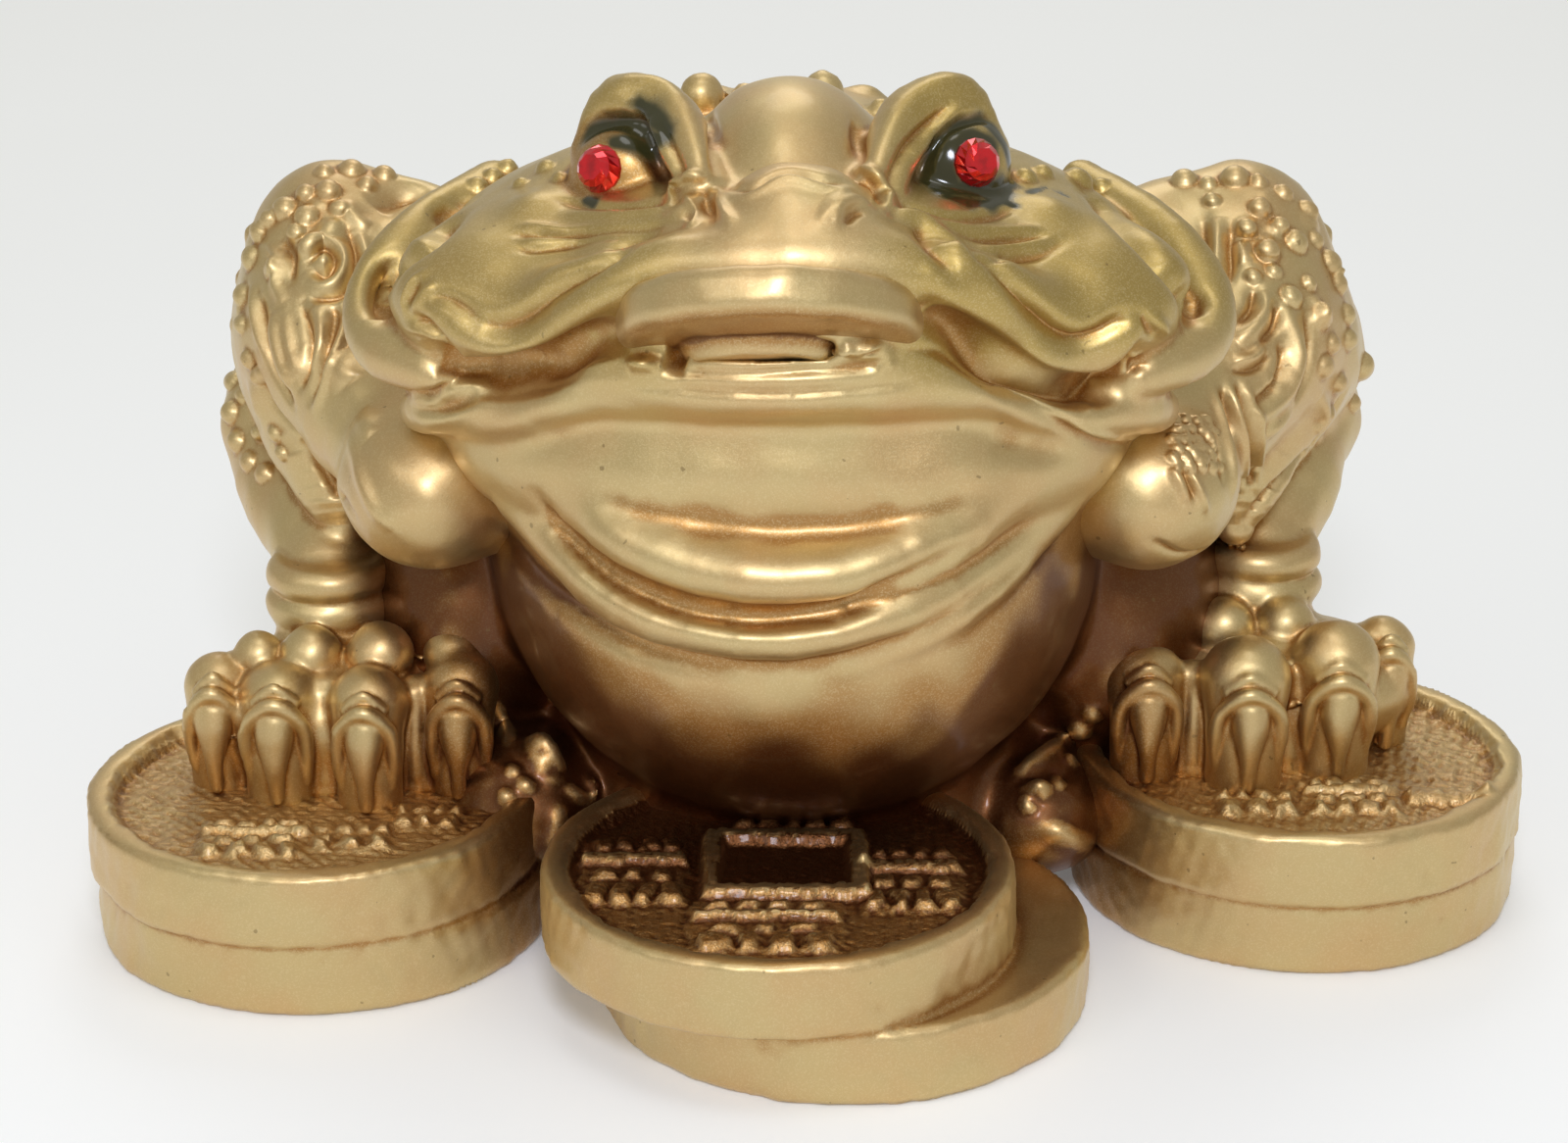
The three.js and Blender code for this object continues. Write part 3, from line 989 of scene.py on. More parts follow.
@dataclass(frozen=True)
class GoldPaint:
    """Satin gold bronze paint with fine flake, with painted shade that browns it in hollows and darkens
    the head's upper faces.
    """

    light: Quad = rgb(0.63, 0.475, 0.225)
    warm: Quad = rgb(0.64, 0.44, 0.205)
    # Painted shade: brown in hollows, and a dark brown at the belly's foot, on the flanks and in the
    # coins' fields and hole.
    hollow: Quad = rgb(0.41, 0.2, 0.052)
    deep: Quad = rgb(0.15, 0.055, 0.018)
    # Painted shade on the head's upper faces: a darker, greener gold.
    olive_shade: Quad = rgb(0.5, 0.355, 0.115)
    dark: Quad = rgb(0.035, 0.032, 0.01)
    glint: Quad = rgb(0.8, 0.66, 0.38)
    speck: Quad = rgb(0.2, 0.13, 0.05)
    roughness: float = 0.38
    dark_roughness: float = 0.14
    flake_mm: float = 0.1
    flake_depth_mm: float = 0.006
    orange_peel_mm: float = 0.07
    coat: float = 0.25
    coat_roughness: float = 0.15

    def make(self, name: str, stipple_mm: float = 0.0) -> bpy.types.Material:
        """Make the paint.

        Args:
            name: The material's name.
            stipple_mm: Depth of the grainy ground where the mesh asks for it.

        Returns:
            The material.
        """
        g = Graph(name)
        recess = g.attribute("recess").between(0.0, 1.0)
        black = g.attribute("dark_paint").between(0.2, 0.8)
        deep_shade = g.attribute("recess").between(1.0, 2.0)
        patch = g.noise(0.12, 3.0).between(0.35, 0.68)
        flake = g.add(
            "ShaderNodeTexVoronoi",
            {"feature": "F1"},
            {"Vector": g.place(), "Scale": 1 / (self.flake_mm * MM)},
            output="Color",
        )
        spark = g.add("ShaderNodeSeparateColor", None, {0: flake}, output=0)
        colour = g.mix(patch, self.light, self.warm)
        # Painted shade on the head's upper faces.
        colour = g.mix(g.attribute("olive_shade").between(0.0, 1.0), colour, self.olive_shade)
        # Painted shade: browner in hollows, and dark brown where the recess value passes 1.
        colour = g.mix(recess * 0.85, colour, self.hollow)
        colour = g.mix(deep_shade, colour, self.deep)
        colour = g.mix(spark.between(0.55, 1.0) * (0.3 - 0.26 * deep_shade), colour, self.glint)
        speck = g.noise(1.1, 1.0).between(0.77, 0.79)
        colour = g.mix(speck * 0.5, colour, self.speck)
        g.set("Base Color", g.mix(black, colour, self.dark))
        g.set("Metallic", 1.0 - black)
        rough = self.roughness + 0.07 * g.noise(0.5, 3.0) + spark * 0.06
        g.set("Roughness", rough * (1.0 - black) + black * self.dark_roughness)
        g.set("Coat Weight", self.coat - black * 0.2)
        g.shader.inputs["Coat Roughness"].default_value = self.coat_roughness
        quiet = 1.0 - black
        normal = g.bump(g.noise(0.35, 4.0) * quiet, self.orange_peel_mm)
        normal = g.bump(spark * quiet, self.flake_depth_mm, normal)
        if stipple_mm:
            grain = g.noise(2.5, 3.0, 0.6) * g.attribute("stipple")
            normal = g.bump(grain, stipple_mm, normal)
        g.set("Normal", normal)
        return g.material


@dataclass(frozen=True)
class RedGlass:
    """Red glass of the eye stones, with bright foil behind it."""

    colour: Quad = rgb(0.8, 0.003, 0.012)
    shade: Quad = rgb(0.5, 0.002, 0.008)
    roughness: float = 0.1
    foil: float = 0.75

    def make(self, name: str) -> bpy.types.Material:
        """Make the glass.

        Args:
            name: The material's name.

        Returns:
            The material.
        """
        g = Graph(name)
        veil = g.noise(0.9, 2.0)
        g.set("Base Color", g.mix(veil.between(0.4, 0.75), self.colour, self.shade))
        g.set("Roughness", self.roughness + veil * 0.05)
        g.shader.inputs["Metallic"].default_value = self.foil
        g.shader.inputs["Coat Weight"].default_value = 1.0
        return g.material


@dataclass(frozen=True)
class PaleFloor:
    """A plain pale ground."""

    colour: Quad = rgb(0.83, 0.835, 0.83)
    cloud: Quad = rgb(0.88, 0.885, 0.89)
    roughness: float = 0.6
    glow: float = 0.12

    def make(self, name: str) -> bpy.types.Material:
        """Make the ground's material.

        Args:
            name: The material's name.

        Returns:
            The material.
        """
        g = Graph(name)
        g.set("Base Color", g.mix(g.noise(0.004), self.colour, self.cloud))
        g.set("Roughness", self.roughness + 0.1 * g.noise(0.05))
        g.shader.inputs["Emission Color"].default_value = rgb(1.0, 1.0, 1.0)
        g.shader.inputs["Emission Strength"].default_value = self.glow
        return g.material


# The toad's form. Places are millimetres from its axis and over its coins.

TRUNK = Ball((0, 14, 25), (31, 37, 30.2), blend=3)

UPPER_LIP = (
    (-30.5, -17, 46.5, 1.8),
    (-27, -21.5, 45.8, 2.4),
    (-22.5, -26, 45.6, 2.6),
    (-17.5, -30, 49.3, 2.6),
    (-11, -33, 52.2, 2.4),
    (0, -34.6, 53.4, 2.6),
)
LOWER_LIP = (
    (-31, -14.5, 35, 2),
    (-29, -20.3, 37, 2.2),
    (-22.5, -25.6, 38.8, 2.2),
    (-15, -30.6, 42.4, 2.2),
    (0, -34.2, 43.3, 2.3),
)
JAW_ROLL = (
    (-26, 5, 49.4, 2.2),
    (-31.5, -4.5, 47.6, 2.5),
    (-34.8, -11.5, 44.2, 2.6),
    (-33.8, -17, 41.6, 2.6),
    (-29, -22, 40.8, 2.2),
    (-25.4, -23.6, 40.6, 1.2),
)
BROW = (
    (-7, -24, 57, 1.6),
    (-9.5, -17, 60, 2.6),
    (-13.5, -13.5, 60.6, 2.8),
    (-16.3, -14, 57.3, 1.7),
)
LOWER_LID = ((-9, -26, 53, 1.2), (-14, -23.5, 51.6, 1.5), (-19.5, -17.5, 52, 1.4))
NOSTRIL = (
    (6.2, -30.5, 52.3, 0.9),
    (8.6, -28.6, 54.2, 1.3),
    (6.2, -26.6, 56, 1.1),
    (4.6, -27.6, 55.4, 0.8),
)
CHEEK_FOLD = ((-12, -28, 50.5, 1.1), (-20, -24, 47.5, 1.5), (-27, -17, 48, 1.2))
CHIN_ROLLS = (
    ((-19, -24, 33, 2), (-12, -30.8, 29.5, 2.8), (0, -33.8, 27.8, 3.2)),
    ((-22, -21, 29, 2), (-13, -30, 24, 2.8), (0, -33.4, 22, 3.2)),
)

MOUTH_COIN_CENTRE = (-1.5, -32.3, 48.0)
MOUTH_COIN_TILT = 29.5
MOUTH_GAP = Ball((-1.5, -34.4, 46.3), (6, 4.6, 1), tip=-28, blend=0.3, cut=True)

BODY_MASSES: tuple[Ball, ...] = (
    # Belly, trunk and seat
    Ball((0.6, -2, 20), (27, 33, 24.5), blend=4),
    TRUNK,
    Ball((0, 12, -6), (28, 32, 20), blend=3),
    # Flanks, and the small masses beside the belly's foot
    Ball((-29, 8, 9), (10, 17, 17), blend=3),
    Ball((29, 9, 9), (12, 17, 17), blend=3),
    Ball((-24, -10, -3), (7, 8, 6)),
    Ball((22.5, -8, -5), (6.5, 8, 5.5)),
    # Skull, snout, throat and forehead
    Ball((0, -9, 44.5), (31, 25, 13.5), blend=2),
    Ball((0, -22, 47.5), (19, 14.5, 9.5), tip=-8, blend=3),
    Ball((0, -10, 34), (30, 24.2, 14), blend=3),
    Ball((0, -12, 55.1), (8, 12, 7.4), blend=2.5),
    # Nose, and the cheek pads
    Ball((0.6, -28.6, 53.9), (6.6, 6.2, 5.8), blend=1.2),
    Ball((0.6, -31, 51.6), (9, 5.6, 5.4), blend=3),
    Ball((-22, -18, 46.5), (11, 11, 6.5), turn=-35, blend=2.5),
    Ball((22, -18, 46.5), (11, 11, 6.5), turn=35, blend=2.5),
)
HIND_LEG: tuple[Quad, ...] = ((0, 36, 16, 11), (0, 43, 9, 9), (0, 47, 3, 7.5))
HIND_TOES = (-8, -2.7, 2.7, 8)
# A hind toe: share of its place across, place back and up, and radius.
HIND_TOE: tuple[Quad, ...] = ((0.7, 44, 4.6, 3), (1, 49, 3.4, 2.8), (1.15, 53.4, 0.4, 1.2))
CROWN_WARTS: tuple[Ball, ...] = (
    Ball((-7.7, 12, 55.6), (2.1, 2.1, 2.3), blend=0.8),
    Ball((-4, 14, 55), (1.4, 1.4, 1.5), blend=0.6),
    Ball((3.1, 12, 56.1), (1.9, 1.9, 2.0), blend=0.8),
    Ball((8.3, 12, 54.2), (1.3, 1.3, 1.3), blend=0.6),
    Ball((12.4, 8, 54.4), (0.9, 0.9, 0.9), blend=0.5),
)


@dataclass(frozen=True)
class Eye:
    """An eyeball and the way that its stone looks."""

    centre: Triple
    bearing: float
    height: float
    radius: float = 5.2

    def outward(self) -> np.ndarray:
        """Return the direction in which the stone looks."""
        return heading(self.bearing, self.height)


LEFT_EYE = Eye((-12.8, -14.8, 55.3), -32, 18)
RIGHT_EYE = Eye((13.1, -14.9, 55.9), 26, 18)


def on_trunk(across: float, back: float, lift: float) -> Triple:
    """Return a place on the trunk's upper side, from a distance across and behind its top.

    Args:
        across: Distance to the right of the middle, along the surface.
        back: Distance behind the top, along the surface.
        lift: How far the place stands over the surface.

    Returns:
        The place in millimetres.
    """
    rx, ry, rz = TRUNK.radii
    side, rear = across / rx, back / ((ry + rz) / 2)
    way = (
        math.sin(side),
        math.cos(side) * math.sin(rear),
        math.cos(side) * math.cos(rear),
    )
    return tuple(c + (r + lift) * w for c, r, w in zip(TRUNK.centre, TRUNK.radii, way))


FACE_STROKES = strokes(
    # The valley between the left cheek pad and the lip band
    (1.1, -1.4, 676, 233, 646, 244, 595, 274, 560, 300, 542, 320, 515, 335, 488, 328),
    (1.2, 0.8, 660, 284, 610, 305, 575, 330, 548, 348, 510, 353, 478, 347, 452, 330),
    # The left mouth hollow, under the lip's edge
    (1.5, -2.9, 636, 335, 600, 350, 565, 369, 530, 379, 495, 381, 462, 371, 440, 345),
    (0.45, 0.5, 640, 366, 600, 371, 560, 381, 544, 386, 510, 393, 470, 394),
    # Small folds at the left corner
    (0.45, 0.55, 411, 333, 424, 337, 438, 345, 450, 357, 462, 369, 478, 382),
    (0.6, -0.9, 420, 325, 434, 333, 450, 348),
    (0.5, -0.9, 401, 395, 422, 401, 436, 405, 452, 399, 471, 389),
    (0.35, 0.4, 420, 409, 438, 411, 454, 403, 473, 395, 495, 393),
    (0.7, -0.8, 418, 416, 442, 419, 464, 411, 482, 404),
    (1.8, -0.8, 446, 447, 483, 431, 524, 412, 556, 404, 605, 405, 658, 413),
    # The groove inside the left jaw rim, and the folds beside it
    (1.6, -2.6, 470, 206, 438, 242, 413, 260, 394, 280, 387, 303, 390, 322),
    (0.45, 0.55, 436, 276, 422, 288, 414, 302, 410, 316),
    (0.4, 0.4, 443, 289, 431, 302, 419, 318),
    (0.35, -0.4, 430, 281, 420, 300, 413, 312),
    (0.6, -0.5, 438, 302, 454, 303, 471, 312, 485, 322),
    # Folds under the left eye
    (0.5, -0.7, 573, 206, 610, 210, 640, 210, 680, 207),
    (0.5, 0.4, 577, 218, 620, 219, 650, 217, 678, 213),
    (0.45, 0.5, 532, 231, 550, 233, 573, 236, 600, 233),
    (0.4, -0.5, 526, 238, 550, 240, 580, 240, 640, 232, 684, 226),
    (0.45, 0.45, 534, 245, 550, 248, 566, 247, 590, 243),
    (0.45, -0.4, 527, 253, 550, 255, 600, 246, 650, 236),
    # Left brow and lids
    (1.1, 0.5, 603, 103, 643, 83, 676, 88, 699, 116, 712, 150, 717, 172),
    (0.6, -0.9, 645, 112, 656, 133, 669, 159, 684, 192),
    (0.5, 0.5, 662, 120, 677, 150, 691, 182),
    (0.45, -0.6, 676, 130, 689, 160, 700, 184),
    (0.6, -0.8, 719, 108, 727, 140, 730, 180),
    (0.8, -0.8, 590, 140, 610, 128, 640, 124, 655, 135),
    # Right brow and lids
    (1.1, 0.5, 1028, 128, 1018, 98, 985, 83, 950, 88, 920, 112, 898, 148, 884, 172),
    (0.6, 0.6, 998, 112, 975, 114, 955, 134, 935, 160, 915, 203),
    (0.5, -0.8, 968, 108, 948, 128, 921, 156, 900, 196),
    (0.4, -0.5, 930, 148, 918, 172, 908, 196),
    (0.6, -0.8, 873, 122, 876, 145, 880, 168),
    (0.5, -0.7, 1018, 118, 990, 121, 965, 132, 948, 155, 935, 185),
    # The nose bump laps over the forehead
    (0.5, -0.7, 742, 192, 766, 192, 792, 178, 812, 175, 842, 183, 866, 187),
    (0.5, 0.4, 744, 199, 768, 198, 792, 186, 812, 183, 842, 191, 864, 195),
    # Nostril curls
    (0.45, 0.7, 684, 214, 687, 192, 702, 180, 718, 182),
    (0.4, 0.5, 694, 224, 706, 230, 711, 217, 703, 205, 696, 198),
    (0.6, 0.6, 732, 193, 738, 214, 746, 230),
    (0.5, -0.8, 718, 190, 722, 206, 728, 224),
    (0.45, 0.7, 873, 172, 888, 175, 902, 188, 907, 206, 901, 216),
    (0.4, -0.6, 881, 183, 894, 194, 898, 208),
    (0.45, 0.6, 852, 230, 858, 213, 873, 205, 888, 209),
    (0.6, 0.5, 838, 230, 851, 207, 868, 193),
    (0.4, -0.5, 862, 228, 870, 218, 880, 215),
    # Right lower lid and the folds under it
    (0.5, -0.8, 912, 208, 941, 216, 975, 221, 1008, 220, 1031, 212),
    (0.6, 0.4, 925, 218, 958, 227, 991, 233, 1030, 230),
    (0.45, 0.5, 1010, 238, 1034, 236, 1058, 234),
    (0.4, -0.5, 980, 240, 1010, 245, 1040, 244, 1066, 239),
    (0.45, 0.45, 1000, 254, 1023, 254, 1046, 251, 1066, 246),
    (0.6, -0.5, 985, 258, 1020, 263, 1060, 259, 1088, 243),
    # Right cheek ridge, valley, lip band and mouth hollow
    (0.9, 0.6, 922, 212, 937, 224, 958, 238, 976, 251, 1000, 268),
    (0.8, -0.8, 932, 231, 950, 248, 963, 262, 972, 278),
    (
        0.9, -1.6, 1004, 262, 1025, 279, 1043, 301, 1058, 323, 1077, 343, 1099, 351, 1121, 344, 1140,
        330, 1156, 322,
    ),
    (
        1.1, 0.8, 952, 281, 973, 307, 1017, 327, 1051, 355, 1071, 368, 1099, 376, 1125, 370, 1147, 354,
        1164, 333,
    ),
    (1.5, -2.9, 944, 318, 975, 340, 1010, 368, 1050, 392, 1090, 403, 1125, 393, 1150, 372),
    (0.4, -0.7, 930, 357, 958, 360, 980, 369, 1002, 384, 1028, 401, 1051, 416, 1082, 427, 1101, 433),
    (0.6, -0.8, 1012, 391, 1038, 414, 1069, 431, 1099, 444, 1125, 451, 1158, 453),
    (0.4, 0.5, 1096, 436, 1125, 443, 1162, 447),
    (1.2, -0.6, 1010, 448, 1045, 456, 1085, 464),
    (0.5, -0.8, 1108, 405, 1125, 389, 1147, 369, 1160, 351),
    (0.4, 0.5, 1144, 380, 1153, 367, 1167, 361),
    (0.4, -0.5, 1150, 384, 1160, 373, 1172, 370),
    (0.5, 0.6, 1177, 324, 1185, 333, 1191, 340),
    (0.4, -0.6, 1166, 320, 1172, 332, 1178, 343),
    (1.6, -2.6, 1110, 193, 1147, 223, 1169, 243, 1190, 266, 1210, 292, 1217, 322),
    (0.4, 0.3, 1114, 402, 1118, 414, 1113, 424),
    # Glue and gaps under the coin in the mouth
    (1.2, -2.0, 676, 358, 688, 361, 700, 363),
    (0.5, 0.6, 640, 366, 655, 372, 668, 368),
    (0.45, 0.6, 848, 362, 862, 352, 884, 350, 900, 346),
    (0.5, 0.5, 870, 366, 890, 362, 915, 362),
    (0.6, 0.6, 895, 374, 915, 372),
    (0.4, 0.4, 700, 372, 760, 374, 820, 372),
    (0.4, -0.5, 690, 380, 760, 379, 850, 376, 900, 372),
    (0.5, -0.4, 640, 395, 700, 398, 780, 402, 860, 398, 930, 390),
    # Chin and throat
    (4.2, -0.8, 630, 530, 700, 564, 780, 574, 860, 566, 930, 532),
    (2.3, 0.9, 604, 524, 640, 561, 700, 588, 759, 597, 840, 595, 890, 582, 930, 560),
    (
        0.9, -1.1, 548, 508, 575, 542, 623, 588, 700, 622, 778, 632, 850, 622, 914, 596, 960, 574,
        995, 556,
    ),
    (1.2, 0.45, 560, 548, 600, 590, 650, 625, 720, 646, 790, 650, 860, 642, 930, 613, 985, 580),
    (
        1.1, -1.2, 515, 545, 560, 600, 635, 650, 700, 675, 790, 686, 870, 674, 945, 646, 1010, 602,
        1057, 560,
    ),
)
FACE_STROKES += strokes((2.4, 0.7, 544, 207, 546, 209), (2.2, 0.7, 1072, 212, 1074, 214), ends=0.0)
FACE_STROKES += strokes(
    (0.6, 0.7, 642, 374, 656, 371, 670, 374),
    (0.5, 0.8, 846, 364, 858, 355, 872, 358, 888, 350, 904, 356),
    bead=True,
)

BODY_DOTS = dots(
    (
        (488, 190, 0.9), (504, 181, 0.9), (520, 172, 1.0), (538, 165, 0.9), (556, 171, 0.8),
        (571, 181, 0.7), (530, 187, 0.7), (1046, 180, 0.9), (1064, 176, 0.8), (1100, 183, 1.2),
        (1122, 190, 0.8), (552, 764, 1.3), (566, 780, 0.9), (536, 800, 0.8), (604, 806, 0.8),
        (524, 786, 0.7), (516, 812, 0.7), (1102, 742, 1.0), (1086, 758, 0.9), (1062, 806, 0.9),
        (1048, 822, 0.7), (1078, 800, 0.7), (1114, 728, 0.8), (1092, 776, 0.7),
    )
)
BODY_DOTS += strokes(
    (0.7, 0.7, 572, 822, 568, 842, 562, 862),
    (0.7, 0.8, 505, 716, 516, 740, 522, 764),
    (0.9, 1.0, 1034, 796, 1052, 780, 1078, 762, 1104, 742),
    (0.8, 0.8, 1068, 846, 1090, 852, 1112, 862),
)
BODY_DOTS += strokes((1.5, 1.3, 541, 762, 551, 775, 561, 788), bead=True, ends=0.3)
BODY_DOTS += strokes(
    (0.7, 0.8, 578, 800, 588, 812, 602, 814, 606, 802, 596, 790),
    (0.9, 0.8, 1040, 812, 1056, 806, 1070, 812),
    bead=True,
)

LEFT_ARM_STROKES = strokes(
    # The curl on the upper arm
    (0.7, 0.8, 308, 268, 313, 249, 332, 244, 349, 258, 348, 281, 330, 293, 313, 286),
    (0.45, -0.8, 318, 268, 332, 254, 342, 268, 331, 282, 320, 274),
    (0.5, -0.8, 356, 236, 364, 262, 358, 292, 338, 304, 314, 305),
    (0.7, 0.6, 366, 238, 372, 264, 364, 300, 344, 313, 318, 314),
    # Flames
    (1.1, 1.0, 318, 314, 328, 330, 332, 352, 320, 380),
    (0.5, -0.9, 308, 310, 316, 336, 314, 372, 306, 396),
    (1.0, 1.0, 281, 318, 284, 345, 293, 378, 300, 392),
    (0.5, 0.5, 292, 320, 298, 350, 304, 380),
    (0.6, -0.9, 264, 299, 272, 350, 287, 390, 298, 414),
    (0.5, -0.8, 343, 312, 338, 350, 326, 384, 316, 410),
    (0.5, 0.7, 352, 318, 348, 352, 334, 388, 322, 414),
    (0.7, 0.6, 256, 290, 262, 330, 276, 372),
    (0.6, 0.7, 274, 250, 284, 268, 282, 292, 292, 310),
    (0.5, -0.6, 288, 246, 298, 262, 298, 288),
    (0.6, 0.5, 352, 205, 362, 222, 378, 232),
    # Hollow behind the shoulder, and the seam over the forearm
    (1.3, -1.6, 384, 212, 402, 199, 420, 194, 438, 199),
    (0.6, -0.9, 256, 366, 277, 412, 306, 448, 335, 489, 360, 524),
    (1.4, 0.9, 343, 366, 352, 378, 358, 392),
    (1.1, 0.7, 366, 424, 374, 436, 380, 446),
    (0.8, 0.5, 358, 440, 366, 480, 382, 520, 402, 542),
)
LEFT_ARM_STROKES += strokes(
    (0.9, 0.8, 330, 266, 331, 267),
    (1.5, 0.6, 263, 405, 266, 414),
    ends=0.0,
)
LEFT_ARM_STROKES += dots(
    (
        (358, 172, 1.1), (289, 212, 1.1), (312, 220, 1.0), (335, 194, 1.0), (392, 178, 0.9),
        (415, 178, 0.9), (256, 262, 1.1), (277, 274, 0.8), (264, 236, 1.0), (300, 238, 0.8),
        (247, 300, 0.9), (246, 330, 0.8), (330, 174, 0.8), (375, 187, 0.8), (272, 222, 0.8),
        (310, 196, 0.8), (345, 212, 0.7), (238, 388, 1.0), (234, 420, 1.0), (241, 450, 1.0),
        (253, 470, 0.9), (262, 383, 0.8), (269, 482, 0.9), (247, 403, 0.7), (287, 462, 0.7),
        (280, 442, 0.7), (262, 440, 0.7), (252, 366, 0.8),
    )
)

RIGHT_ARM_STROKES = strokes(
    # Ridges beside the jaw
    (0.9, 0.8, 1240, 222, 1243, 250, 1239, 288),
    (0.6, -0.8, 1254, 238, 1256, 264, 1252, 290),
    (0.8, 0.7, 1262, 246, 1266, 258, 1273, 268),
    (0.6, -0.5, 1228, 224, 1230, 250, 1228, 276),
    # Flames
    (0.9, 1.0, 1291, 296, 1289, 319, 1277, 337, 1260, 350),
    (0.5, -0.8, 1279, 296, 1277, 314, 1264, 330),
    (0.5, -0.8, 1303, 312, 1300, 334, 1284, 350),
    (0.9, 1.0, 1311, 312, 1322, 345, 1323, 368, 1314, 397, 1296, 417, 1278, 427),
    (0.5, -0.7, 1332, 318, 1338, 350, 1334, 384, 1320, 414),
    (0.5, -0.8, 1308, 350, 1309, 372, 1296, 398, 1280, 412),
    (0.9, 0.8, 1316, 418, 1302, 432, 1288, 444),
    (0.55, 0.8, 1259, 369, 1277, 366, 1289, 353),
    (0.4, -0.6, 1256, 378, 1280, 376, 1296, 362),
    (0.8, 0.8, 1346, 404, 1350, 424, 1340, 444),
    (0.7, 0.7, 1338, 300, 1344, 318, 1342, 336),
    # Long grooves down to the elbow
    (0.5, 0.8, 1254, 392, 1262, 425, 1268, 460, 1268, 506),
    (0.4, -0.7, 1262, 390, 1271, 425, 1276, 460, 1275, 500),
    (0.5, 0.7, 1272, 394, 1282, 430, 1284, 466, 1280, 496),
    (0.5, 0.8, 1239, 400, 1248, 440, 1255, 478, 1258, 506),
    (0.4, -0.7, 1246, 396, 1256, 436, 1262, 478),
    (0.35, -0.5, 1238, 430, 1243, 460, 1248, 492),
    (0.5, 0.7, 1196, 477, 1204, 494, 1211, 512),
    (0.4, -0.6, 1204, 474, 1213, 492, 1219, 508),
    (0.5, 0.7, 1212, 480, 1222, 500, 1232, 522),
    (0.6, -0.9, 1372, 400, 1350, 440, 1322, 475, 1290, 510, 1266, 538),
    (0.5, -0.5, 1176, 552, 1204, 566, 1236, 560),
)
RIGHT_ARM_STROKES += strokes((1.2, 0.5, 1300, 384, 1296, 396), ends=0.2)
RIGHT_ARM_STROKES += dots(
    (
        (1208, 183, 1.1), (1259, 181, 1.2), (1285, 211, 0.9), (1322, 246, 1.1), (1294, 256, 1.0),
        (1357, 268, 1.2), (1317, 302, 1.0), (1348, 322, 1.1), (1365, 288, 1.0), (1351, 374, 1.0),
        (1390, 374, 1.2), (1334, 214, 0.9), (1366, 391, 0.9), (1272, 232, 0.8), (1306, 228, 0.8),
        (1342, 244, 0.8), (1374, 320, 0.9), (1376, 346, 0.9), (1284, 184, 0.7), (1310, 196, 0.8),
        (1232, 186, 0.7), (1336, 288, 0.7), (1360, 350, 0.8), (1380, 410, 0.8), (1356, 420, 0.7),
        (1278, 282, 0.7), (1300, 276, 0.7), (1236, 204, 0.7),
    )
)
RIGHT_ARM_STROKES += dots(
    tuple(
        (
            1190 + 10 * i + 5 * (j % 2) + 2 * j + 2 * math.sin(5 * i + j),
            428 + 9.5 * j + 2 * math.sin(3 * i),
            0.5,
        )
        for j in range(6)
        for i in range(5)
    )
)

EYE_PAINT = smears(
    (
        0.95, 965, 140, 985, 128, 1008, 128, 1026, 150, 1031, 185, 1015, 206, 985, 206, 960, 196, 948,
        178, 955, 150, 968, 138,
    ),
    (1.5, 972, 150, 964, 168, 972, 192),
    (1.3, 985, 145, 1000, 140, 1010, 150),
    (1.2, 985, 190, 1005, 196, 1018, 190),
    (0.45, 1052, 196, 1070, 192, 1088, 200),
    (0.5, 1022, 205, 1035, 210),
    (1.15, 654, 106, 668, 118, 680, 134),
    (1.2, 606, 136, 625, 130, 650, 132, 668, 142),
    (1.0, 626, 146, 648, 146, 662, 154),
    (0.5, 598, 204, 606, 206),
)


class CastPiece:
    """What the sculpted pieces of the casting share."""

    FINE_TIMES = 8
    BROAD_TIMES = 60
    FINE_SHARE = 0.5
    BROAD_SHARE = 0.7
    FINE_DEEP = 0.3
    LEVEL = 0.1
    SMEAR_EDGE = 0.5

    @staticmethod
    def dress(piece: bpy.types.Object, paint: bpy.types.Material) -> None:
        """Give a piece its paint and tie it to the frame.

        Args:
            piece: The finished object.
            paint: Its material.
        """
        piece.data.materials.clear()
        piece.data.materials.append(paint)
        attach(piece, "root")

    @staticmethod
    def belly_foot_shade(places: np.ndarray) -> np.ndarray:
        """Work out the painted shade round the foot of the belly, where belly, legs and coins shade each
        other.

        Args:
            places: Places in the toad's frame, one to a row.

        Returns:
            A value of 0 to 1 for each place.
        """
        half_width, half_length, centre = 34, 30, -4
        out = np.hypot(places[:, 0] / half_width, (places[:, 1] - centre) / half_length)
        return ramp(out, 1.1, 0.8) * ramp(places[:, 2], 18, 9)

    def stamp(self, skin: Skin, smears: Sequence[Smear] = (), deep: float = 0.35) -> None:
        """Store where painted shade browns the hollows, and where the paint is dark.

        Args:
            skin: The skin, still in millimetres.
            smears: Marks of dark paint.
            deep: Hollowness in millimetres at which the painted shade is full.
        """
        # Painted shade: the more hollow the surface, the browner the paint.
        fine = skin.hollow(self.FINE_TIMES) / (self.FINE_DEEP * deep) * self.FINE_SHARE
        broad = skin.hollow(self.BROAD_TIMES) / deep * self.BROAD_SHARE
        skin.store("recess", np.clip(fine + broad - self.LEVEL, 0, 1))
        dark = np.zeros(len(skin.places))
        if smears:
            tree = skin.tree()
            wander = Ripple(5, 3.0).at(skin.places)
            for smear in smears:
                path = skin.cast(tree, smear.line)
                if len(path) < 2:
                    continue
                gap = to_segments(skin.places, path)[0]
                width = smear.width * (1 + 0.2 * wander)
                dark = np.maximum(dark, 1.0 - self.SMEAR_EDGE * gap / width)
        skin.store("dark_paint", np.clip(dark, 0, 1))
        skin.store("stipple", np.zeros(len(skin.places)))
        skin.store("olive_shade", np.zeros(len(skin.places)))


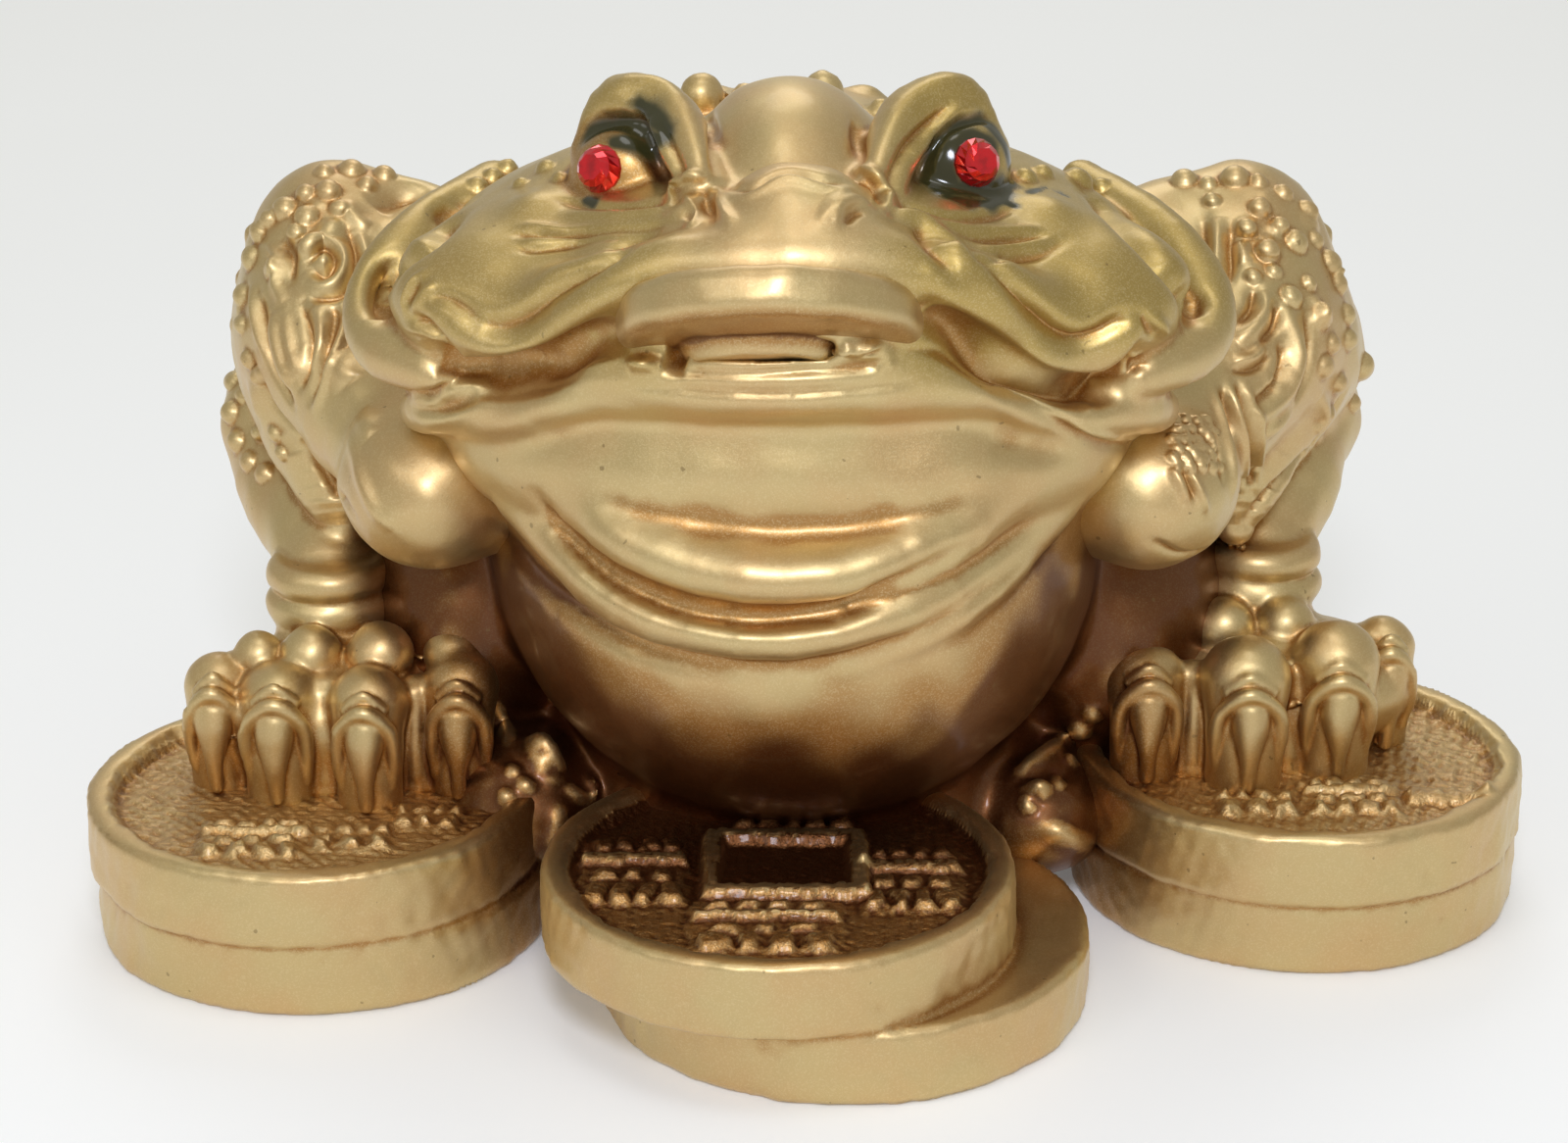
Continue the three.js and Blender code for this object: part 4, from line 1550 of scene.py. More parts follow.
@dataclass
class ToadBody(CastPiece):
    """Trunk, head, belly, seat and hind leg, with the warts of the back."""

    blank_face: float = 1.0
    floor: float = -12.5
    wart_rows: int = 5
    warts_across: int = 4
    wart_sink: float = 0.6
    wart_size: float = 2.3
    wart_taper: float = 0.12
    wart_pitch: float = 13
    wart_fan: float = 1.5
    wart_start: float = -4
    wart_row_pitch: float = 12
    wart_bow: float = 0.12
    face_box: Quad = (345, 60, 1262, 480)
    face_back: float = 4
    fine_from: float = -10
    floor_gap: float = 0.02
    shade_top: float = 18.5
    shade_rise: float = 11
    shade_depth: float = 1.9
    eye_brown: float = 0.75
    olive_shade_foot: float = 41
    left_olive_shade: float = 0.7

    def face(self) -> list[Form]:
        """Model the face.

        Returns:
            Lips, jaw rims, brows, lids, nostrils, eyeballs and the gap under the coin.
        """
        rolls = [Roll(whole_arc(UPPER_LIP), 2.2), Roll(whole_arc(LOWER_LIP), 2.2)]
        rolls += [Roll(whole_arc(half), 1.4) for half in CHIN_ROLLS]
        rolls += both(JAW_ROLL, 1.2) + both(BROW, 1.6)
        rolls += both(LOWER_LID, 0.9) + both(CHEEK_FOLD, 1.4) + both(NOSTRIL, 0.8)
        eyes = [Ball(e.centre, (e.radius,) * 3, blend=0.7) for e in (LEFT_EYE, RIGHT_EYE)]
        return rolls + eyes + [MOUTH_GAP]

    def hind_leg(self) -> list[Form]:
        """Model the third leg, under the rump.

        Returns:
            The leg and its toes.
        """
        forms: list[Form] = [Roll(HIND_LEG, 2.0)]
        for across in HIND_TOES:
            forms.append(Roll(tuple((across * share, *rest) for share, *rest in HIND_TOE), 0.8))
        return forms

    def warts(self) -> list[Form]:
        """Model the warts of the back.

        Returns:
            The warts, row by row.
        """
        forms: list[Form] = list(CROWN_WARTS)
        for row in range(1, self.wart_rows):
            size = self.wart_size - self.wart_taper * row
            for i in range(self.warts_across):
                across = (i - (self.warts_across - 1) / 2) * (self.wart_pitch + row * self.wart_fan)
                back = self.wart_start + row * self.wart_row_pitch - abs(across) * self.wart_bow
                forms.append(Ball(on_trunk(across, back, -self.wart_sink * size), (size,) * 3, blend=0.8))
        return forms

    def paint_shade(self, skin: Skin) -> None:
        """Paint shade on the belly's foot and the flanks, brown the paint round the left eyeball, and
        paint shade on the head's upper faces.

        Args:
            skin: The skin, still in millimetres, with its attributes.
        """
        x, y, z = skin.places.T
        across = np.abs(x)
        # Painted shade at the belly's foot and on the flanks beside the arms, thinner on bumps that catch
        # the light.
        edge = self.shade_top + self.shade_rise * ramp(across, 9, 22) + 1.2 * Ripple(8, 9.0).at(skin.places)
        low = ramp(z, edge, edge - 9)
        flank = ramp(z, 36, 24) * ramp(across, 20, 26) * ramp(y, -16, -8)
        bumps = ramp(-skin.hollow(8), 0.04, 0.14) * ramp(y, 4, -6)
        skin.add_to("recess", self.shade_depth * np.maximum(low, flank) * (1 - 0.7 * bumps))
        # Browner round the left eyeball.
        off = np.linalg.norm(skin.places - LEFT_EYE.centre, axis=1) - LEFT_EYE.radius
        skin.add_to("recess", self.eye_brown * ramp(off, 1.4, 0.4))
        # Painted shade on the head's upper faces, stronger on the right side.
        side = ramp(across, 5, 11) * np.where(x > 0, 1.0, self.left_olive_shade)
        skin.add_to("olive_shade", ramp(z, self.olive_shade_foot, self.olive_shade_foot + 5) * side)

    def build(self, paint: bpy.types.Material) -> bpy.types.Object:
        """Sculpt the body.

        Args:
            paint: Its material.

        Returns:
            The finished object.
        """
        forms = list(BODY_MASSES) + self.face() + self.hind_leg() + self.warts()
        shape = Field(forms)
        piece = bead_blank("toad_body", forms)
        remeshed(piece, self.blank_face)
        skin = Skin(piece)
        skin.fit(shape, 2)
        skin.refine(skin.seen(-0.1) & (skin.places[:, 2] > self.fine_from))
        skin.settle(shape, 3)
        skin.relax(1)
        front = skin.places[:, 1] < self.face_back
        skin.refine(skin.seen(-0.05) & skin.in_frame(self.face_box) & front)
        skin.settle(shape, 3)
        skin.relax(1)
        skin.carve(FACE_STROKES + BODY_DOTS)
        skin.relax(1, along_only=False)
        skin.ripple(3, 7.0)
        skin.places[:, 2] = np.maximum(skin.places[:, 2], self.floor + self.floor_gap)
        self.stamp(skin, EYE_PAINT)
        self.paint_shade(skin)
        skin.finish(FORM_ORIGIN)
        self.dress(piece, paint)
        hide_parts("toad")
        return piece


# Toes from the outside in: place across, place of the claw's tip, radius, height of the knuckle's top.
LEFT_TOES: tuple[Quad, ...] = (
    (-50.6, -15.5, 3.2, 10.2),
    (-44.9, -18, 3.8, 10.3),
    (-36.9, -19.6, 3.5, 10.6),
    (-29, -16.8, 3.4, 10.8),
)
RIGHT_TOES: tuple[Quad, ...] = (
    (54.4, -6, 2.9, 10),
    (49, -12.6, 4, 12.1),
    (40.6, -15.6, 4.1, 11.8),
    (31.9, -13.4, 3.7, 10.4),
)
# The second row of knuckles: place across, back and up, and radius.
LEFT_KNUCKLES: tuple[Quad, ...] = (
    (-47.1, -7.6, 9.6, 2.3),
    (-42.4, -7.9, 9.8, 2.7),
    (-36.3, -7.9, 9.8, 3.0),
    (-29.9, -7.6, 9.8, 2.6),
)
RIGHT_KNUCKLES: tuple[Quad, ...] = (
    (33.5, -1.2, 9.4, 2.5),
    (39.4, -1.2, 9.7, 2.9),
    (45, -0.8, 9.8, 2.8),
)
# The web between two toes and its edge: place behind the claws' tips, height and radius.
WEB: tuple[Triple, ...] = ((7.8, 7.4, 1.5), (7, 3.4, 1.6), (6.8, -0.8, 1.8))
WEB_EDGE: tuple[Triple, ...] = ((6.8, 7.6, 0.6), (5.9, 4, 0.6), (5.6, 0.4, 0.6))
# The arm's rolls on the right side, each with its radius last
SHOULDER: tuple[Quad, ...] = ((27, -8, 27.5, 7.5), (34, -2, 30, 8))
SHOULDER_TOP: tuple[Quad, ...] = ((26, 10, 37, 6), (33, 12, 40.5, 6.8), (41, 14, 42, 6.8))
FOREARM: tuple[Quad, ...] = ((47.5, 22, 24, 6), (46.5, 14, 19, 5.4))
# The ridge from the arm's point down to the wrist
FOREARM_RIDGE: tuple[Quad, ...] = ((41, 6, 26, 7), (40.6, 2.6, 21.4, 4), (40.4, 1.4, 18.6, 1.8))

# Half of the cuff and of the fold over a claw: share of the toe's width across, place behind the
# claw's tip, height and radius.
TOE_CUFF: tuple[Quad, ...] = (
    (-0.9, 4, 0.6, 0.5),
    (-1, 3.3, 3.8, 0.65),
    (-0.85, 2.8, 6.4, 0.7),
    (0, 2.2, 8.2, 0.75),
)
TOE_FOLD: tuple[Quad, ...] = ((-0.7, 3.6, 8, 0.45), (0, 3.2, 9.4, 0.55))
# A claw: place behind its tip, height and radius.
CLAW: tuple[Triple, ...] = (
    (3.2, 6.2, 1.9),
    (2.6, 4.6, 1.6),
    (2.1, 2.9, 1.05),
    (2.0, 1.3, 0.7),
    (2.3, -0.6, 0.6),
)
# A toe below its knuckle: place behind the claw's tip, height and share of the radius.
TOE_FOOT: tuple[Triple, ...] = ((5.6, 4.2, 0.86), (5.4, -0.8, 0.82))
KNUCKLE_BACK = 6.8
# The palm, from the ankle's place
PALM = Ball((0, -5, 4), (12.5, 8.5, 6.2), blend=1.5)
# The ankle bands: height, radius, half of the thickness and rounding.
ANKLE_BANDS: tuple[Quad, ...] = ((12.0, 5.9, 1.6, 1.5), (14.9, 5.7, 1.5, 1.4))


class Side(Enum):
    """A side of the photograph, with its sign across."""

    LEFT = -1
    RIGHT = 1


@dataclass(frozen=True)
class Bend:
    """How an arm goes on from the shoulder, its point, elbow and wrist, all on the right side."""

    path: tuple[Quad, ...]
    point: Quad
    elbow: Ball
    wrist: tuple[Quad, ...]
    bands: Pixel


LEFT_BEND = Bend(
    path=((40, 8, 34, 9), (42.5, 17, 31, 7.5)),
    point=(41.4, 12, 31, 8.8),
    elbow=Ball((48.2, 19, 22.5), (5.6, 6, 6.2), blend=0.8),
    wrist=((42, 3.2, 15, 4.8), (41.3, -0.4, 11, 5.4)),
    bands=(41.5, -0.1),
)
RIGHT_BEND = Bend(
    path=((41, 8, 34, 9), (46, 18, 30, 8)),
    point=(42.5, 12, 31, 10),
    elbow=Ball((50, 21, 22.5), (4.6, 5.4, 5.4), blend=1.5),
    wrist=((43.6, 8.2, 15, 4.9), (42.8, 4.6, 11, 5.4)),
    bands=(43.2, 5.2),
)


@dataclass
class FrontLeg(CastPiece):
    """An arm with its foot."""

    name: str
    side: Side
    ankle: Pixel
    toes: tuple[Quad, ...]
    knuckles: tuple[Quad, ...]
    bend: Bend
    strokes: tuple[Stroke, ...] = ()
    blank_face: float = 0.8
    wart_count: int = 40
    wart_seed: int = 11
    wart_sizes: Pixel = (0.75, 1.25)
    wart_sink: float = 0.35
    wart_top: float = 84
    wart_step: float = 3.4
    wart_bearing: float = 70
    wart_sweep: float = 75
    deep: float = 0.26
    claw_top: float = 7
    toe_foot_shade: float = 0.5
    belly_foot_shade_depth: float = 1.2
    upper: Ball = Ball((42, 14.5, 33), (9.2, 14, 15), tip=24, turn=-8, blend=3)
    chest: Ball = Ball((30.8, -8, 27), (8.4, 11, 8), blend=1.2)

    def _flip(self, points: Sequence[Quad], blend: float = 1.0) -> Roll:
        """Return a roll on this leg's side, from points of the right one."""
        return Roll(tuple((p[0] * self.side.value, *p[1:]) for p in points), blend)

    def _flip_ball(self, ball: Ball) -> Ball:
        """Return a mass on this leg's side, from one of the right side."""
        s = self.side.value
        return replace(ball, centre=(s * ball.centre[0], *ball.centre[1:]), turn=s * ball.turn)

    def arm(self) -> list[Form]:
        """Model the arm.

        Returns:
            Shoulder, upper arm with its point, elbow and forearm.
        """
        return [
            self._flip((*SHOULDER, *self.bend.path), 3),
            self._flip_ball(self.upper),
            self._flip(SHOULDER_TOP, 3),
            self._flip((*FOREARM, *self.bend.wrist), 1.2),
            self._flip((self.bend.point, *FOREARM_RIDGE), 0.9),
            self._flip_ball(self.chest),
            self._flip_ball(self.bend.elbow),
        ]

    def toe(self, x: float, tip: float, radius: float, top: float) -> list[Form]:
        """Return one toe: its knuckles, its claw and the cuff of skin over the claw.

        Args:
            x: The toe's place across.
            tip: The place of the claw's tip from front to back.
            radius: The knuckle's radius.
            top: The height of the knuckle's top.

        Returns:
            The toe's forms.
        """
        wide = 0.7 * radius
        cuff, fold = (
            tuple((x + share * wide, tip + back, up, thick) for share, back, up, thick in whole_arc(half))
            for half in (TOE_CUFF, TOE_FOLD)
        )
        below = ((x, tip + back, up, radius * share) for back, up, share in TOE_FOOT)
        finger = ((x, tip + KNUCKLE_BACK, top - radius, radius), *below)
        claw = tuple((x, tip + back, up, thick) for back, up, thick in CLAW)
        fine = ((claw, 0.25), (cuff, 0.3), (fold, 0.4))
        return [Roll(finger, 0.8)] + [Roll(points, blend, steps=6) for points, blend in fine]

    def paw(self) -> list[Form]:
        """Model the foot.

        Returns:
            Palm, ankle bands, toes and the webs between them.
        """
        x, y = self.ankle
        bx, by = self.side.value * self.bend.bands[0], self.bend.bands[1]
        forms: list[Form] = [replace(PALM, centre=(x, y + PALM.centre[1], PALM.centre[2]))]
        forms += [Disc((bx, by, up), *sizes) for up, *sizes in ANKLE_BANDS]
        forms += [Ball(spot[:3], (spot[3],) * 3, blend=0.7) for spot in self.knuckles]
        for first, second in zip(self.toes, self.toes[1:]):
            mx, my = (first[0] + second[0]) / 2, (first[1] + second[1]) / 2
            for web, blend in ((WEB, 0.8), (WEB_EDGE, 0.5)):
                forms.append(Roll(tuple((mx, my + back, up, thick) for back, up, thick in web), blend))
        for toe in self.toes:
            forms += self.toe(*toe)
        return forms

    def warts(self) -> list[Form]:
        """Model the warts over the top and the outside of the upper arm.

        Returns:
            The warts.
        """
        forms: list[Form] = []
        draw = np.random.default_rng(self.wart_seed)
        upper = self.arm()[1]
        for i in range(self.wart_count):
            height = self.wart_top - i * self.wart_step
            bearing = self.side.value * (self.wart_bearing + self.wart_sweep * math.sin(i * 2.4))
            size = draw.uniform(*self.wart_sizes)
            way = (np.array(upper.radii) - self.wart_sink * size) * heading(bearing, height)
            spot = np.array(upper.centre) + way @ upper.axes()
            forms.append(Ball(tuple(spot), (size,) * 3, blend=0.5))
        return forms

    def build(self, paint: bpy.types.Material) -> bpy.types.Object:
        """Sculpt the leg.

        Args:
            paint: Its material.

        Returns:
            The finished object.
        """
        base = self.arm() + self.paw()
        shape = Field(base + self.warts())
        piece = bead_blank(self.name, base)
        remeshed(piece, self.blank_face)
        skin = Skin(piece)
        skin.fit(shape, 2)
        skin.refine(skin.seen(-0.15))
        skin.settle(shape, 3)
        skin.relax(1)
        skin.refine(skin.seen(-0.1))
        skin.settle(shape, 3)
        skin.carve(self.strokes)
        skin.relax(1, along_only=False)
        skin.ripple(7, 5.0)
        self.stamp(skin, deep=self.deep)
        # Painted shade: darker towards the bottom of the toes, and round the foot of the belly.
        foot = self.toe_foot_shade * ramp(skin.places[:, 2], self.claw_top, 0)
        skin.add_to("recess", foot + self.belly_foot_shade_depth * self.belly_foot_shade(skin.places))
        skin.finish(FORM_ORIGIN)
        self.dress(piece, paint)
        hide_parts("toad")
        return piece


def front_legs() -> tuple[FrontLeg, ...]:
    """Set out the two front legs.

    Returns:
        The left one and the right one.
    """
    return (
        FrontLeg(
            "left_front_leg",
            Side.LEFT,
            (-41.5, -0.7),
            LEFT_TOES,
            LEFT_KNUCKLES,
            LEFT_BEND,
            LEFT_ARM_STROKES,
        ),
        FrontLeg(
            "right_front_leg",
            Side.RIGHT,
            (44.7, 4.8),
            RIGHT_TOES,
            RIGHT_KNUCKLES,
            RIGHT_BEND,
            RIGHT_ARM_STROKES,
        ),
    )


# Coins, in the part's own frame in millimetres


def coin_blank(disc: Disc) -> bpy.types.Object:
    """Turn a coin with rounded edges.

    Args:
        disc: The coin's place and sizes.

    Returns:
        The blank, its place in its mesh.
    """
    select_none()
    bpy.ops.mesh.primitive_cylinder_add(
        vertices=96, radius=disc.radius, depth=2 * disc.half, location=disc.centre
    )
    piece = bpy.context.object
    bpy.ops.object.transform_apply(location=True)
    mesh = piece.data
    bpy.ops.object.mode_set(mode="EDIT")
    bpy.ops.mesh.select_mode(type="EDGE")
    bpy.ops.mesh.select_all(action="DESELECT")
    bpy.ops.object.mode_set(mode="OBJECT")
    for edge in mesh.edges:
        low, high = (mesh.vertices[i].co.z for i in edge.vertices)
        edge.select = abs(low - high) < 1e-4
    bpy.ops.object.mode_set(mode="EDIT")
    bpy.ops.mesh.bevel(offset=disc.edge, segments=5, profile=0.5)
    bpy.ops.object.mode_set(mode="OBJECT")
    return piece


@dataclass(frozen=True)
class Row:
    """A row of raised strokes: its place and depth as shares of the block's length."""

    place: float
    depth: float
    count: int
    reach: float
    height: float


ROWS = (
    Row(0.38, 0.13, 4, 0.42, 0.55),
    Row(0.14, 0.11, 1, 0.5, 0.75),
    Row(-0.08, 0.12, 3, 0.4, 0.55),
    Row(-0.35, 0.22, 4, 0.47, 0.65),
)


@dataclass(frozen=True)
class Block:
    """A block of rows of short strokes, placed from the coin's centre. It holds no letters."""

    x: float
    y: float
    width: float
    length: float
    rows: tuple[Row, ...] = ROWS
    ground: float = 0.25
    stroke_share: float = 0.34

    def height(self, x: np.ndarray, y: np.ndarray) -> np.ndarray:
        """Return how high the strokes stand on the coin's field.

        Args:
            x: Places across, from the coin's centre.
            y: Places along.

        Returns:
            One height for each place, in millimetres.
        """
        across, along = x - self.x, y - self.y
        inside = soft_step(self.width / 2 - np.abs(across))
        inside *= soft_step(self.length / 2 - np.abs(along))
        total = self.ground * inside
        for row in self.rows:
            deep = self.length * row.depth / 2
            near = soft_step(deep - np.abs(along - row.place * self.length))
            near *= soft_step(row.reach * self.width - np.abs(across))
            if row.count > 1:
                cell = 2 * row.reach * self.width / row.count
                in_cell = (across / cell + row.count / 2) % 1.0 - 0.5
                near *= soft_step((self.stroke_share - np.abs(in_cell)) * cell)
            total += row.height * near
        return total


@dataclass
class CoinStack(CastPiece):
    """Two big coins, one on the other. The upper one shows its face."""

    name: str
    centre: Pixel
    slip: Pixel
    blocks: tuple[Block, ...] = ()
    hole: bool = False
    face: float = 0.45
    seed: int = 1
    radius: float = 20.0
    lower_radius: float = 20.0
    thickness: float = 6.65
    edge: float = 0.8
    rim: float = 2.4
    sink: float = 1.3
    hole_width: float = 10.7
    hole_length: float = 9.0
    hole_centre: Pixel = (0.6, 0.6)
    border: float = 1.6
    grain: float = 0.05
    # The next two weigh painted shade: on the sunken field, and near the foot of the belly.
    ground: float = 1.2
    deep_shade: float = 1.4
    wander: float = 0.1
    bent: float = 0.22
    sway: float = 0.09
    tremble: float = 0.04
    face_depth: float = 0.6
    fine_face: float = 0.6
    face_edge: float = 1.6
    border_share: float = 0.8
    hole_depth: float = 1.1
    upright: float = 0.8
    overlap: float = 0.05

    def over(self, skin: Skin, depth: float) -> np.ndarray:
        """Return which vertices lie over a level, from its depth under the stack's top."""
        return skin.places[:, 2] > 2 * self.thickness - depth

    def within(self, skin: Skin, radius: float) -> np.ndarray:
        """Return which vertices lie within a radius of the upper coin's centre."""
        return np.hypot(*(skin.places[:, :2] - self.centre).T) < radius

    def outside_hole(self, x: np.ndarray, y: np.ndarray) -> np.ndarray:
        """Measure how far places lie outside the square hole.

        Args:
            x: Places across, from the coin's centre.
            y: Places along.

        Returns:
            One distance for each place, negative inside.
        """
        across, along = self.hole_centre
        beside = np.abs(x - across) - self.hole_width / 2
        return np.maximum(beside, np.abs(y - along) - self.hole_length / 2)

    def relief(self, x: np.ndarray, y: np.ndarray) -> np.ndarray:
        """Return the height of the coin's face over its rim.

        Args:
            x: Places across, from the coin's centre.
            y: Places along.

        Returns:
            One height for each place, in millimetres.
        """
        spot = np.stack([x, y, np.zeros_like(x)], axis=1)
        wander = self.wander * Ripple(self.seed, 3.0).at(spot)
        inside = soft_step(self.radius - self.rim - np.hypot(x, y) - wander, 0.8)
        height = inside * (self.grain * Ripple(self.seed + 9, 1.3).at(spot) - self.sink)
        bent = self.bent * Ripple(self.seed + 5, 3.4).at(spot)
        for block in self.blocks:
            height += block.height(x + bent, y + wander)
        if self.hole:
            out = self.outside_hole(x + wander, y + wander)
            height += soft_step(self.border - out, 0.4) * self.sink * self.border_share
            height -= soft_step(-out, 0.45) * self.hole_depth
        return height

    def build(self, paint: bpy.types.Material) -> bpy.types.Object:
        """Sculpt the stack.

        Args:
            paint: Its material.

        Returns:
            The finished object.
        """
        x, y = self.centre
        half = self.thickness / 2
        discs = [
            Disc((x + self.slip[0], y + self.slip[1], half), self.lower_radius, half, self.edge),
            Disc((x, y, 3 * half - self.overlap), self.radius, half + self.overlap, self.edge),
        ]
        piece, other = [coin_blank(disc) for disc in discs]
        activate(piece)
        other.select_set(True)
        bpy.ops.object.join()
        piece.name = self.name
        remeshed(piece, self.face)
        shape = Field(discs)
        skin = Skin(piece)
        skin.fit(shape, 3)
        top = self.over(skin, self.face_depth)
        if self.face < self.fine_face:
            skin.refine(top & self.within(skin, self.radius - self.face_edge) & skin.seen(0.0))
            top = self.over(skin, self.face_depth)
        rise = self.relief(skin.places[top, 0] - x, skin.places[top, 1] - y)
        flat = np.clip((skin.normals()[top, 2] - 0.5) / 0.4, 0, 1)
        skin.places[top, 2] += rise * flat
        side = np.abs(skin.normals()[:, 2]) < self.upright
        sway = self.sway * Ripple(self.seed + 3, 9.0).at(skin.places)
        sway += self.tremble * Ripple(self.seed + 4, 2.5).at(skin.places)
        skin.places += (sway * side)[:, None] * skin.normals()
        skin.places[:, 2] = np.maximum(skin.places[:, 2], 0.0)
        self.stamp(skin)
        field = self.over(skin, 2) & ~self.over(skin, 0.35)
        stipple = (field & self.within(skin, self.radius - self.rim)).astype(float)
        skin.add_to("stipple", stipple)
        # Painted shade: brown on the sunken field, in the square hole and near the foot of the belly.
        deep_shade = self.ground * stipple + self.deep_shade * self.belly_foot_shade(skin.places - FORM_ORIGIN)
        if self.hole:
            out = self.outside_hole(skin.places[:, 0] - x, skin.places[:, 1] - y)
            deep_shade += stipple * np.clip(0.5 - out, 0, 1)
        skin.add_to("recess", deep_shade)
        skin.finish(np.zeros(3))
        self.dress(piece, paint)
        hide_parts("toad")
        return piece


# The blocks of strokes on the coins
SMALL_ROWS = (Row(0.25, 0.24, 4, 0.5, 0.5), Row(-0.25, 0.28, 3, 0.5, 0.65))
LEFT_BLOCKS = (
    Block(-4, -10, 9.5, 7),
    Block(4.4, -9.6, 7, 5.6, SMALL_ROWS),
    Block(10.5, -5.5, 5.5, 5, SMALL_ROWS),
)
RIGHT_BLOCKS = (
    Block(3.5, -9, 8.7, 7),
    Block(12, -9, 7.5, 3, (Row(0.0, 0.8, 1, 0.5, 0.6),)),
    Block(-5, -10, 7, 5, SMALL_ROWS),
)
FRONT_BLOCKS = (
    Block(-12, -0.4, 9, 12.4),
    Block(11.1, -1.8, 8.5, 12.5),
    Block(-1, -10.5, 12.3, 9),
    Block(1.2, 10.2, 10.5, 4.7, (Row(0.0, 0.8, 5, 0.5, 0.7),)),
)


def coin_stacks() -> tuple[CoinStack, ...]:
    """Set out the four stacks of coins.

    Returns:
        The stacks. The rear one is plain, because it isn't seen.
    """
    # The side coins have a coarser grain and less painted shade on their fields.
    grain_and_less_shade = {"grain": 0.09, "ground": 0.5}
    return (
        CoinStack("left_coins", (-44, -17), (0.6, 0.4), LEFT_BLOCKS, seed=1, **grain_and_less_shade),
        CoinStack("right_coins", (44, -9.5), (-0.1, 0.5), RIGHT_BLOCKS, seed=2, **grain_and_less_shade),
        CoinStack(
            "front_coins",
            (-3, -33),
            (5.7, 2.2),
            FRONT_BLOCKS,
            hole=True,
            seed=3,
            lower_radius=20.9,
            deep_shade=0.6,
        ),
        CoinStack("rear_coins", (-2.1, 33), (1, -0.8), face=0.7, seed=4),
    )


@dataclass
class MouthCoin(CastPiece):
    """The coin in the mouth, tilted so that its underside and the boss there show."""

    radius: float = 12.0
    half: float = 2.0
    edge: float = 1.4
    boss_place: Pixel = (-0.5, 0.8)
    boss_size: Pixel = (6.3, 5.0)
    boss: float = 1.4
    boss_slope: float = 5
    under_shade: float = 0.8
    face: float = 0.3

    def build(self, paint: bpy.types.Material) -> bpy.types.Object:
        """Sculpt the coin flat and then tilt it into the mouth.

        Args:
            paint: Its material.

        Returns:
            The finished object.
        """
        disc = Disc((0, 0, 0), self.radius, self.half, self.edge)
        piece = coin_blank(disc)
        piece.name = "coin_in_mouth"
        remeshed(piece, self.face)
        shape = Field([disc])
        skin = Skin(piece)
        skin.fit(shape, 3)
        out = np.hypot(*((skin.places[:, :2] - self.boss_place) / self.boss_size).T)
        below = skin.places[:, 2] < -self.half + 0.4
        under = soft_step(0.5 - self.half - skin.places[:, 2], 0.5)
        share = soft_step(self.boss_slope * (1 - out), 0.5) * below
        skin.places[:, 2] -= self.boss * share
        skin.ripple(21, 5.0)
        self.stamp(skin)
        # Painted shade on the underside, except on the boss.
        skin.add_to("recess", self.under_shade * under * (1 - share))
        skin.places = skin.places @ about_x(-MOUTH_COIN_TILT).T + np.array(MOUTH_COIN_CENTRE)
        skin.finish(FORM_ORIGIN)
        self.dress(piece, paint)
        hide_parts("mouth_coin")
        return piece


@dataclass
class EyeStone:
    """A faceted stone with a flat back, glued on the eyeball.

    The girdle is a share of the height. Each step of the crown is an inset in millimetres and a
    rise as a share of the height.
    """

    name: str
    node: str
    eye: Eye
    radius: float = 2.0
    height: float = 1.7
    seat_depth: float = 0.7
    clearance: float = 0.3
    facets: int = 8
    girdle: float = 0.2
    wave: float = 0.05
    crown: tuple[Pixel, ...] = ((0.42, 0.5), (0.5, 0.3))

    def build(self, glass: bpy.types.Material) -> bpy.types.Object:
        """Cut the stone.

        Args:
            glass: Its material.

        Returns:
            The finished object.
        """
        select_none()
        depth = self.height * self.girdle
        bpy.ops.mesh.primitive_cylinder_add(
            vertices=2 * self.facets, radius=self.radius, depth=depth, end_fill_type="NGON"
        )
        piece = bpy.context.object
        piece.name = self.name
        mesh = piece.data
        bpy.ops.object.mode_set(mode="EDIT")
        bpy.ops.mesh.select_mode(type="FACE")
        bpy.ops.mesh.select_all(action="DESELECT")
        bpy.ops.object.mode_set(mode="OBJECT")
        for face in mesh.polygons:
            face.select = face.normal.z > 0.9
        bpy.ops.object.mode_set(mode="EDIT")
        for inward, up in self.crown:
            bpy.ops.mesh.inset(thickness=inward)
            bpy.ops.transform.translate(value=(0, 0, self.height * up))
        bpy.ops.object.mode_set(mode="OBJECT")
        places = read_out(mesh.vertices, "co", 3)
        level = np.round(places[:, 2], 3)
        for i, height in enumerate(sorted(set(level.tolist()))):
            ring = level == height
            if i >= 2:
                twist = math.pi / (2 * self.facets) * (i - 1)
                angle = np.arctan2(places[ring, 1], places[ring, 0]) + twist
                out = np.hypot(places[ring, 0], places[ring, 1])
                wave = 1 + self.wave * np.cos(angle * self.facets)
                places[ring, 0] = out * wave * np.cos(angle)
                places[ring, 1] = out * wave * np.sin(angle)
        places[:, 2] += depth / 2
        outward = self.eye.outward()
        base = np.array(self.eye.centre) + outward * (self.eye.radius - self.seat_depth + self.clearance)
        turn = Vector((0, 0, 1)).rotation_difference(Vector(outward)).to_matrix()
        places = (places @ np.array(turn).T + base + FORM_ORIGIN) * MM
        mesh.vertices.foreach_set("co", places.ravel())
        mesh.materials.append(glass)
        mesh.update()
        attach(piece, "root")
        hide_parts(self.node)
        return piece


# Studio


